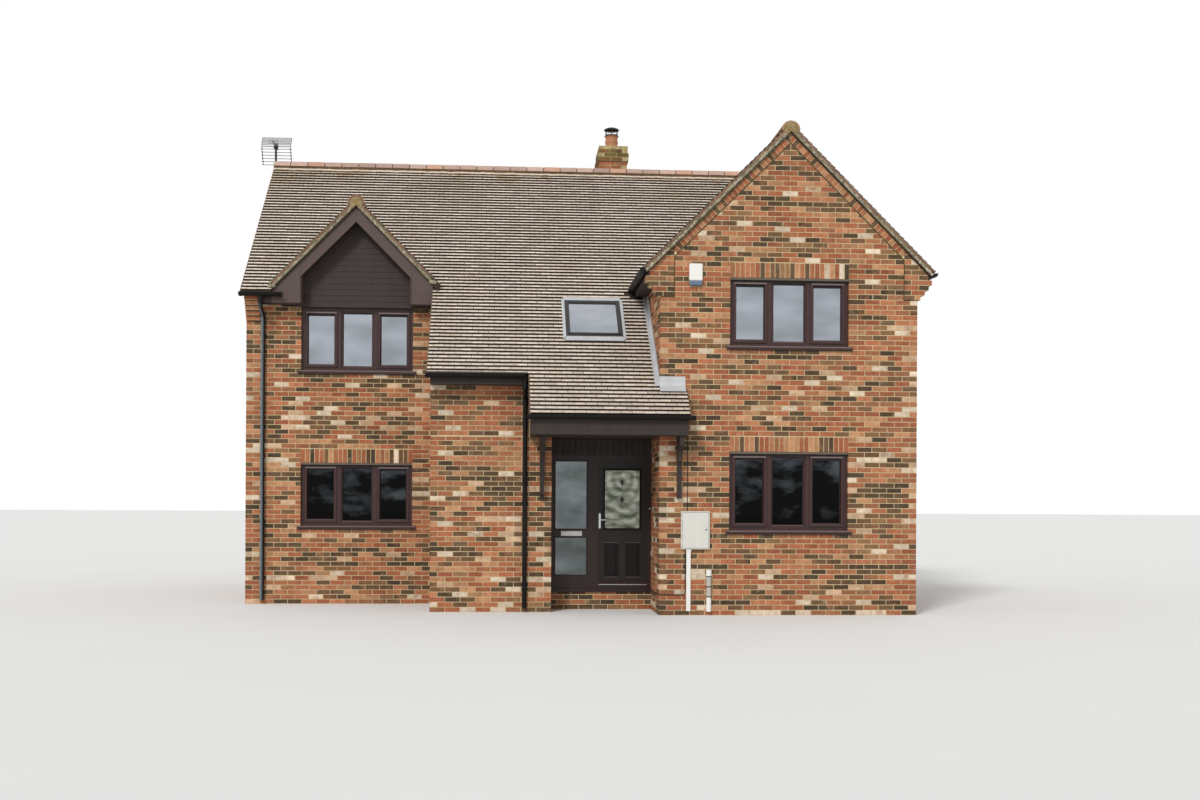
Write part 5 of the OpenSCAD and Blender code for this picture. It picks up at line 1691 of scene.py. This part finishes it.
# %% Beads, seals, painted shadow lines and lit edges of the windows
seal = [(0.010, 0), (0.010, 0.007), (0.016, 0.005), (0.016, 0)]
casement_gap = [(-0.003, -0.014), (-0.003, -0.010), (0.001, -0.010), (0.001, -0.014)]
casement_rib = [(0.002, -0.002), (0.006, 0.003), (0.014, 0.004), (0.018, -0.002)]
bead_form, seal_form, line_form, lintel_form, shadow_line_form, lit_form, sheen_form = (
    bmesh.new() for _ in range(7))
for window in windows:
    x_mid, y_face, inwards, sill, height = window
    head, half, horn = sill + height, half_window, half_window + 0.047
    # The lintel's edge with a bar of painted shadow under it; on the sill's nose a pale bar of
    # painted highlight, with a bar of painted shadow under the sill.
    if y_face != y_left or sill != dormer_sill:
        window_bar(lintel_form, window, -half, half, 0.001, 0.055, head - 0.034, head - 0.003)
        window_bar(shadow_line_form, window, -half, half, 0.034, 0.0605, head - 0.052, head - 0.033)
    window_bar(lit_form, window, -horn, horn, -0.0365, -0.030, sill + 0.026, sill + 0.044)
    window_bar(shadow_line_form, window, -horn, horn, -0.030, -0.003, sill - 0.014, sill - 0.001)
    glass_y = y_face + inwards * (reveal_depth + glass_in)
    casement_y = y_face + inwards * (reveal_depth - 0.012)
    bottom, top = sill + sill_t + frame_w, head - frame_w
    for i in range(3):
        fixed = i == 1
        inset, deep, shade, front = (bead_w, 0.018, 0.022, 0.079) if fixed else (
            sash_w, 0.034, 0.032, 0.060)
        left = frame_w - half + i * (light_w + mullion_w)
        right = left + light_w
        corners = (x_mid + left, bottom), (x_mid + right, top)
        bead = [(-0.001, 0), (-0.001, deep), (0.003, deep + 0.003), (0.013, 0.008), (0.013, 0)]
        add_ring(bead_form, *corners, bead, glass_y, inwards, -inset)
        add_ring(seal_form, *corners, seal, glass_y, inwards, -inset)
        # At the head of the pane a bar of painted shadow, partly the seal; on the lower bead a
        # pale bar of painted highlight.
        window_bar(shadow_line_form, window, left + inset + 0.004, right - inset - 0.004, 0.078, 0.096,
                   top - inset - shade, top - inset - 0.001)
        window_bar(lit_form, window, left + inset, right - inset, front, front + 0.006,
                   bottom + inset - 0.003, bottom + inset + 0.006)
        if not fixed:
            add_ring(line_form, *corners, casement_gap, casement_y, inwards)
            add_ring(bead_form, *corners, casement_rib, casement_y, inwards)
            # A pale bar of painted highlight on the casement's head.
            window_bar(sheen_form, window, left + 0.016, right - 0.016, 0.0462, 0.056,
                       top - 0.038, top - 0.015)
shaped("window_beads", bead_form, joinery)
shaped("window_seals", seal_form, rubber)
shaped("casement_gaps", line_form, rubber)
shaped("lintel_edges", lintel_form, lintel_grey)
shaped("window_shadow_lines", shadow_line_form, rubber)
shaped("window_lit_edges", lit_form, joinery_highlight)
shaped("casement_head_highlights", sheen_form, casement_highlight)

# %% Roof window
opening_left, opening_right, opening_low, opening_high = -0.060, 0.810, -3.051, -2.285
roof_up = Vector((0, -sin(main_pitch), cos(main_pitch)))
rail = (0.060, 0.030, 0.014)
strip = (0.006, 0.002)


def add_bar(form, start, end, lift, width, height, rounding=0.003):
    """A bar that lies over the front slope from one point of X and Y to another."""
    start, end = (Vector((x, y, main_z(y) + lift)) for x, y in (start, end))
    line = (end - start).normalized()
    verts = add_block(form, (start + end) / 2, (line, line.cross(roof_up), roof_up),
                      ((end - start).length, width, height))
    rounded(form, list({e for v in verts for e in v.link_edges}), rounding)


form = bmesh.new()
for x in (opening_left + 0.048, opening_right - 0.048):
    add_bar(form, (x, opening_low + 0.03), (x, opening_high - 0.03), *rail)
for y in (opening_low + 0.040, opening_high - 0.040):
    add_bar(form, (opening_left + 0.04, y), (opening_right - 0.04, y), *rail)
shaped("roof_window_sash", form, dark_metal)
form = bmesh.new()
for y, lift in ((opening_high + 0.035, 0.050), (opening_low - 0.045, 0.046)):
    add_bar(form, (opening_left - 0.02, y), (opening_right + 0.02, y), lift, 0.110, *strip)
for x in (opening_left - 0.022, opening_right + 0.022):
    add_bar(form, (x, opening_low - 0.05), (x, opening_high + 0.04), 0.046, 0.046, *strip)
shaped("roof_window_lead", form, lead)

# %% [markdown]
# ## Front door
# The leaf is dark brown with two raised panels under an obscure glass with a swirling pattern
# and two dark diamonds. The mouldings round panels and glass are small rounded ribs: their upper
# sides catch the sky, which gives the thin bright lines in the photograph, and pale bars of
# painted highlight along the top and bottom of each panel add to them. Everything on the leaf
# rides on the door's body, so that it swings with it.

# %% Mouldings, raised panels and weather bar
door_front = -2.890
glass_low, glass_high = (0.551, 1.239), (1.095, 2.138)
panel_x, panel_w, panel_z0, panel_z1 = (0.551, 0.883), 0.212, 0.496, 1.018
rib = [(0.0, -0.002), (0.0, 0.004), (0.004, 0.010), (0.010, 0.010), (0.015, 0.003),
       (0.015, -0.002)]
glass_bead = [(0, -0.002), (0.0, 0.008), (0.006, 0.010), (0.022, -0.006), (0.022, -0.012)]
leaf_edge = [(0.002, -0.002), (0.003, 0.002), (0.008, 0.002), (0.010, -0.002)]
form, field_form, lit_form = bmesh.new(), bmesh.new(), bmesh.new()
add_ring(form, glass_low, glass_high, rib, door_front, grow=0.030)
add_ring(form, glass_low, glass_high, glass_bead, door_front, grow=0.016)
for x in panel_x:
    add_ring(form, (x, panel_z0), (x + panel_w, panel_z1), rib, door_front, grow=0.008)
    field = add_box(field_form, (x + 0.007, door_front - 0.002, panel_z0 + 0.007),
                    (x + panel_w - 0.007, door_front + 0.006, panel_z1 - 0.007), 0)
    face = [f for f in {f for v in field for f in v.link_faces} if f.normal.y < -0.5]
    bmesh.ops.inset_region(field_form, faces=face, thickness=0.034, depth=0.0)
    bmesh.ops.inset_region(field_form, faces=face, thickness=0.016, depth=0.006)
    # Pale bars of painted highlight along the panel's foot and head.
    for z in (panel_z0 - 0.006, panel_z1 + 0.001):
        add_box(lit_form, (x - 0.002, door_front - 0.0118, z),
                (x + panel_w + 0.002, door_front - 0.008, z + 0.007))
add_ring(form, (0.451, 0.405), (1.215, 2.305), leaf_edge, door_front)
shaped("door_mouldings", form, door_paint, "door")
shaped("door_lit_edges", lit_form, joinery_highlight, "door")
shaped("door_fields", field_form, door_field, "door")
form = bmesh.new()
for vert in add_box(form, (0.458, door_front - 0.024, 0.412),
                    (1.208, door_front + 0.001, 0.438), 0):
    if vert.co.z > 0.43 and vert.co.y < door_front - 0.01:
        vert.co.y += 0.018
rounded(form, form.edges[:], 0.003)
shaped("weather_bar", form, frame_paint, "door")
form = bmesh.new()
add_box(form, (0.462, y_door - 0.005, 0.374), (1.206, y_door + 0.001, 0.384), 0.002, 2)
shaped("threshold_strip", form, silver)

# %% Diamonds in the glass
form = bmesh.new()
pane_y = door_front + 0.012
for x, z, half_w, half_h in ((0.820, 1.944, 0.026, 0.056), (0.820, 1.684, 0.036, 0.056)):
    made = bmesh.ops.create_cone(form, cap_ends=True, segments=4, radius1=1, radius2=0.72,
                                 depth=0.006, matrix=Matrix.Rotation(radians(90), 4, "X"))["verts"]
    bmesh.ops.scale(form, verts=made, vec=(half_w, 1, half_h))
    bmesh.ops.translate(form, verts=made, vec=(x, pane_y - 0.004, z))
shaped("glass_diamonds", form, green_glass, "door")

# %% Lever handle
form = bmesh.new()
handle_x, handle_z, lever_z = 0.476, 1.355, 1.372
keyhole_z = handle_z - 0.060
add_box(form, (handle_x - 0.017, door_front - 0.009, handle_z - 0.115),
        (handle_x + 0.017, door_front + 0.001, handle_z + 0.115), 0.004, 3)
for z, back, front, radius, sides in ((lever_z, 0.008, 0.050, 0.0095, 24),
                                      (lever_z, 0.008, 0.016, 0.0150, 24),
                                      (keyhole_z, 0.009, 0.013, 0.0085, 20)):
    add_rod(form, (handle_x, door_front - back, z), (handle_x, door_front - front, z), radius,
            sides)
grip = add_box(form, (handle_x - 0.010, door_front - 0.054, lever_z - 0.009),
               (handle_x + 0.095, door_front - 0.038, lever_z + 0.009), 0.006, 3)
for vert in grip:
    reach = max(0, (vert.co.x - handle_x - 0.05) / 0.045)
    vert.co.y += 0.012 * reach ** 2
shaped("lever_handle", form, chrome, "door", ["door_handle"])

# %% Letter plate and bell push
form = bmesh.new()
letter_x0, letter_x1, letter_z0, letter_z1 = -0.119, 0.204, 1.124, 1.199
flap_x0, flap_x1 = letter_x0 + 0.022, letter_x1 - 0.022
add_box(form, (letter_x0, y_door - 0.005, letter_z0), (letter_x1, y_door + 0.001, letter_z1),
        0.0025, 2)
add_box(form, (flap_x0, y_door - 0.009, letter_z0 + 0.014),
        (flap_x1, y_door - 0.003, letter_z1 - 0.016), 0.002, 2)
add_rod(form, (flap_x0, y_door - 0.007, letter_z1 - 0.013),
        (flap_x1, y_door - 0.007, letter_z1 - 0.013), 0.0035, 10)
shaped("letter_plate", form, silver)
form = bmesh.new()
bell_x, bell_z = 1.245, 1.550
for back, front, radius, sides in ((-0.001, 0.008, 0.011, 20), (0.006, 0.011, 0.006, 16)):
    add_rod(form, (bell_x, y_door - back, bell_z), (bell_x, y_door - front, bell_z), radius, sides)
shaped("bell_push", form, white_plastic)

# %% Side light
form, seal_form, pane_form = bmesh.new(), bmesh.new(), bmesh.new()
side_bead = [(-0.016, -0.002), (-0.014, 0.005), (-0.004, 0.006), (0.001, -0.012),
             (0.001, -0.024), (-0.016, -0.020)]
side_seal = [(0.001, -0.0205), (0.001, -0.016), (0.006, -0.018), (0.006, -0.0205)]
for z0, z1 in ((0.525, 1.100), (1.231, 2.271)):
    low, high = (-0.210, z0), (0.275, z1)
    add_ring(form, low, high, side_bead, y_door)
    add_ring(seal_form, low, high, side_seal, y_door)
    add_box(pane_form, (low[0], y_door + 0.0205, z0), (high[0], y_door + 0.0248, z1), 0)
shaped("side_light_beads", form, frame_paint)
shaped("side_light_seals", seal_form, rubber)
shaped("side_light_glass", pane_form, side_glass)

# %% Boards over the door
rng = np.random.default_rng(120)
board_w, board_count = 0.0975, 16
centres = [(x_door + (i + 0.5) * board_w, 2.486, 0.004) for i in range(board_count)]
halves = [(board_w / 2 - 0.002, 0.122, 0.006)] * board_count
# The boards take the dark board finish, partly painted shade under the canopy.
joined("head_boards", chamfered_box(0.004), centres, halves, front_axes, (0, y_door, 0), rng,
       dark_boarding)

# %% [markdown]
# ## Half-dormer
# The gable of the half-dormer is clad in narrow overlapping boards, darker than the bargeboards
# in front of them. Each board leans out at its foot, like a tile. The bargeboards meet in a
# joint at the apex, and a brown strip trims the inner side of each boxed end.

# %% Shiplap boards
rng = np.random.default_rng(130)
board_h = 0.095
boards_foot, boards_half = cladding_foot + 0.002, cladding_half - 0.002
count = int((dormer_ridge_z - 0.13 - boards_foot) / board_h) + 1
centres = [(0, boards_foot + (i + 0.5) * board_h, 0.004) for i in range(count)]
halves = [(boards_half, board_h / 2 + 0.004, 0.004)] * count
barge_top = dormer_ridge_z - slab_depth(dormer_pitch)
gable_cuts = [((x_dormer, 0, barge_top - 0.004),
               (side * sin(dormer_pitch), 0, cos(dormer_pitch)), everywhere) for side in (-1, 1)]
joined("dormer_boards", chamfered_box(0.002), centres, halves, front_axes,
       (x_dormer, y_left - 0.020, 0), rng, dark_boarding, gable_cuts,
       [(0, -0.060)] * count)

# %% Joints and edges of the bargeboards
y_barge = -2.045
box_half, box_floor, barge_h = 0.850, 4.757, 0.232
joint_half = box_half + 0.020
box_top = barge_top - joint_half * tan(dormer_pitch)
form, edge_form = bmesh.new(), bmesh.new()
for x, low, high in ((x_dormer, barge_top - barge_h + 0.004, barge_top - 0.010),
                     (x_dormer - joint_half, box_top - barge_h - 0.05, box_top - 0.020),
                     (x_dormer + joint_half, box_top - barge_h - 0.05, box_top - 0.020)):
    add_box(form, (x - 0.0015, y_barge - 0.001, low), (x + 0.0015, y_barge + 0.004, high), 0)
edge_top = barge_top - box_half * tan(dormer_pitch) - barge_h - 0.004
for side in (-1, 1):
    x0, x1 = sorted((x_dormer + side * (box_half - 0.004), x_dormer + side * (box_half + 0.018)))
    add_box(edge_form, (x0, y_barge - 0.005, box_floor - 0.003), (x1, y_barge + 0.030, edge_top),
            0.002)
shaped("barge_joints", form, rubber)
shaped("barge_edges", edge_form, joinery)

# %% Meter cabinet
meter_left, meter_right, meter_low, meter_high = 1.581, 2.004, 0.964, 1.521
meter_front, wall_back = y_front - 0.045, y_front - 0.002
corners = (meter_left, meter_low), (meter_right, meter_high)
form = bmesh.new()
add_box(form, (meter_left, meter_front, meter_low), (meter_right, wall_back, meter_high), 0.008, 3)
add_box(form, (meter_left + 0.020, meter_front - 0.008, meter_low + 0.020),
        (meter_right - 0.020, meter_front + 0.001, meter_high - 0.020), 0.005, 3)
add_ring(form, *corners, [(0, -0.004), (0.003, 0.003), (0.009, 0.003), (0.011, -0.004)],
         meter_front, grow=-0.004)
hinge_x, hinge_y = meter_left + 0.016, meter_front - 0.004
for z in (meter_low + 0.10, meter_high - 0.10):
    add_rod(form, (hinge_x, hinge_y, z - 0.025), (hinge_x, hinge_y, z + 0.025), 0.006, 12)
shaped("meter_cabinet", form, meter_grey, replaces=["meter_box"])
form = bmesh.new()
lock_x, lock_z = meter_right - 0.052, (meter_low + meter_high) / 2 + 0.010
add_rod(form, (lock_x, meter_front - 0.006, lock_z), (lock_x, meter_front - 0.012, lock_z), 0.011,
        24)
shaped("cabinet_lock", form, dark_metal)
form = bmesh.new()
add_ring(form, *corners, [(0, -0.002), (0, 0.0005), (0.003, 0.0005), (0.003, -0.002)],
         meter_front, grow=-0.017)
shaped("cabinet_gap", form, rubber)

# %% Duct and service pipe
pipe_x, pipe_y = 1.9915, y_front - 0.040


def add_pipe(form, low, high, radius, y=pipe_y):
    """An upright length of the service pipe, or of a sleeve or clip round it."""
    add_rod(form, (pipe_x, y, low), (pipe_x, y, high), radius, 32)


form = bmesh.new()
add_box(form, (1.663, y_front - 0.032, 0.060), (1.728, wall_back, 0.966), 0.010, 4)
add_box(form, (1.659, y_front - 0.036, 0.930), (1.732, wall_back, 0.964), 0.006, 3)
add_pipe(form, 0.580, 0.668, 0.0405, y_front - 0.042)
add_pipe(form, 0.060, 0.275, 0.0370)
shaped("white_ducts", form, white_plastic)
form = bmesh.new()
add_pipe(form, 0.265, 0.590, 0.0360)
shaped("service_pipe", form, pipe_grey)
form = bmesh.new()
for z in (0.268, 0.415, 0.567):
    add_pipe(form, z, z + 0.014, 0.0395)
shaped("service_clips", form, dark_metal)

# %% [markdown]
# ## Fittings on the wing
# The meter cabinet has a hinged door with a lock, a white duct leads up to it from the ground,
# and a grey service pipe with a white cap stands beside it. Higher up hangs the alarm's white
# cover over a blue-grey base. A black cable is clipped to the wall from the porch roof down to
# the cabinet, and from there to the door's sill.

# %% Alarm
alarm_left, alarm_right, alarm_low, alarm_high = 1.681, 1.880, 4.814, 5.135
form = bmesh.new()
add_box(form, (alarm_left, y_front - 0.060, alarm_low + 0.068),
        (alarm_right, wall_back, alarm_high), 0.020, 4)
shaped("alarm_cover", form, white_plastic, replaces=["alarm_box"])
form = bmesh.new()
add_box(form, (alarm_left + 0.005, y_front - 0.054, alarm_low),
        (alarm_right - 0.005, wall_back, alarm_low + 0.074), 0.016, 4)
shaped("alarm_base", form, blue_plastic)

# %% Cable
cable_y, upper_x, lower_x, floor_run = y_front - 0.009, 1.676, 1.648, 0.300
door_side_x = 1.262


def add_cable(form, points, radius, bend=0.03):
    """A round cable through points, its corners turned in small bends."""
    route = [Vector(points[0])]
    for before, corner, after in zip(points, points[1:], points[2:]):
        corner = Vector(corner)
        to_before = (Vector(before) - corner).normalized() * bend
        to_after = (Vector(after) - corner).normalized() * bend
        for t in (0, 0.25, 0.5, 0.75, 1):
            route.append(corner + to_before * (1 - t) ** 2 + to_after * t ** 2)
    route.append(Vector(points[-1]))
    for start, end in zip(route, route[1:]):
        add_rod(form, start, end, radius, 10)
        bmesh.ops.create_icosphere(form, subdivisions=1, radius=radius,
                                   matrix=Matrix.Translation(end))


def add_clip(form, x0, x1, z0, z1):
    """A clip over the cable."""
    add_box(form, (x0, cable_y - 0.007, z0), (x1, wall_back, z1), 0.002)


form = bmesh.new()
add_cable(form, [(upper_x, cable_y, canopy_z), (upper_x, cable_y, 1.515)], 0.0050)
add_cable(form, [(lower_x, cable_y, 0.968), (lower_x, cable_y, floor_run),
                 (door_side_x, cable_y, floor_run), (door_side_x, y_door - 0.02, floor_run)],
          0.0065)
for x, heights in ((upper_x, (2.35, 2.05, 1.75)), (lower_x, (0.85, 0.62, 0.42))):
    for z in heights:
        add_clip(form, x - 0.009, x + 0.009, z, z + 0.010)
for x in (1.52, 1.36):
    add_clip(form, x, x + 0.010, floor_run - 0.009, floor_run + 0.009)
shaped("wall_cable", form, rubber)

# %% [markdown]
# ## Gutters and pipes
# The half-round gutters hang in brackets and are joined by wider unions, and the downpipes are
# held by clips. A bracket is a small rectangle spun half way round the gutter's axis. One is
# made and its copies are placed along every run.

# %% Gutter brackets and unions
gutter_r, lip, rim_drop = 0.056, 0.035, 0.010
main_lip, wing_lip = 0.025 / cos(main_pitch), 0.025 / cos(wing_pitch)
gutter_back = lip - gutter_r


def front_run(x0, y_edge, length):
    """A gutter under one edge of the front slope: start, direction and length."""
    rim = main_z(y_edge) - main_lip - rim_drop
    return (x0, y_edge + gutter_back, rim), (1, 0, 0), length


def hang(name, start, along, length, width, thickness, spacing, seed):
    """Half rings at even steps along one gutter."""
    shape = half_round(width, gutter_r + 0.0005, thickness, 180, 0)
    count = max(2, round(length / spacing) + 1)
    room = length - 2 * width
    centres = [(width / 2 + i * room / (count - 1), 0, 0) for i in range(count)]
    axes = [along, -np.cross((0, 0, 1), along), (0, 0, -1)]
    joined(name, shape, centres, [(1, 1, 1)] * count, axes, start, np.random.default_rng(seed),
           black_plastic)


gutter_x = wing_half - gutter_back
wing_rim = wing_z(wing_half) - wing_lip - rim_drop
rear_gutter = 2 * y_ridge - y_left_eaves - gutter_back
left_run = front_run(x_left - verge - 0.020, y_left_eaves, 0.675)
gutter_runs = [
    left_run,
    front_run(canopy_left - 0.040, y_canopy, 2.400),
    front_run(x_step - verge - 0.020, y_mid_eaves, 1.457),
    ((left_run[0][0], rear_gutter, left_run[0][2]), (1, 0, 0), 10.290),
    ((x_wing_mid - gutter_x, y_front - verge, wing_rim), (0, 1, 0), 2.045),
    ((x_wing_mid + gutter_x, y_front - verge, wing_rim), (0, 1, 0), 2.000)]
lip_form = bmesh.new()
for start, along, length in gutter_runs:
    run = Vector(along)
    across = run.cross((0, 0, 1))
    for side in (-1, 1):
        rim = Vector(start) + across * side * (gutter_r - 0.003) + Vector((0, 0, 0.002))
        add_rod(lip_form, rim, rim + run * length, 0.0065, 10)
shaped("gutter_lips", lip_form, black_plastic)
for number, run in enumerate(gutter_runs):
    hang(f"gutter_brackets_{number + 1}", *run, 0.024, 0.0045, 0.8, 140)
    if run[2] > 2.2:
        hang(f"gutter_unions_{number + 1}", *run, 0.090, 0.0030, 3.4, 141)
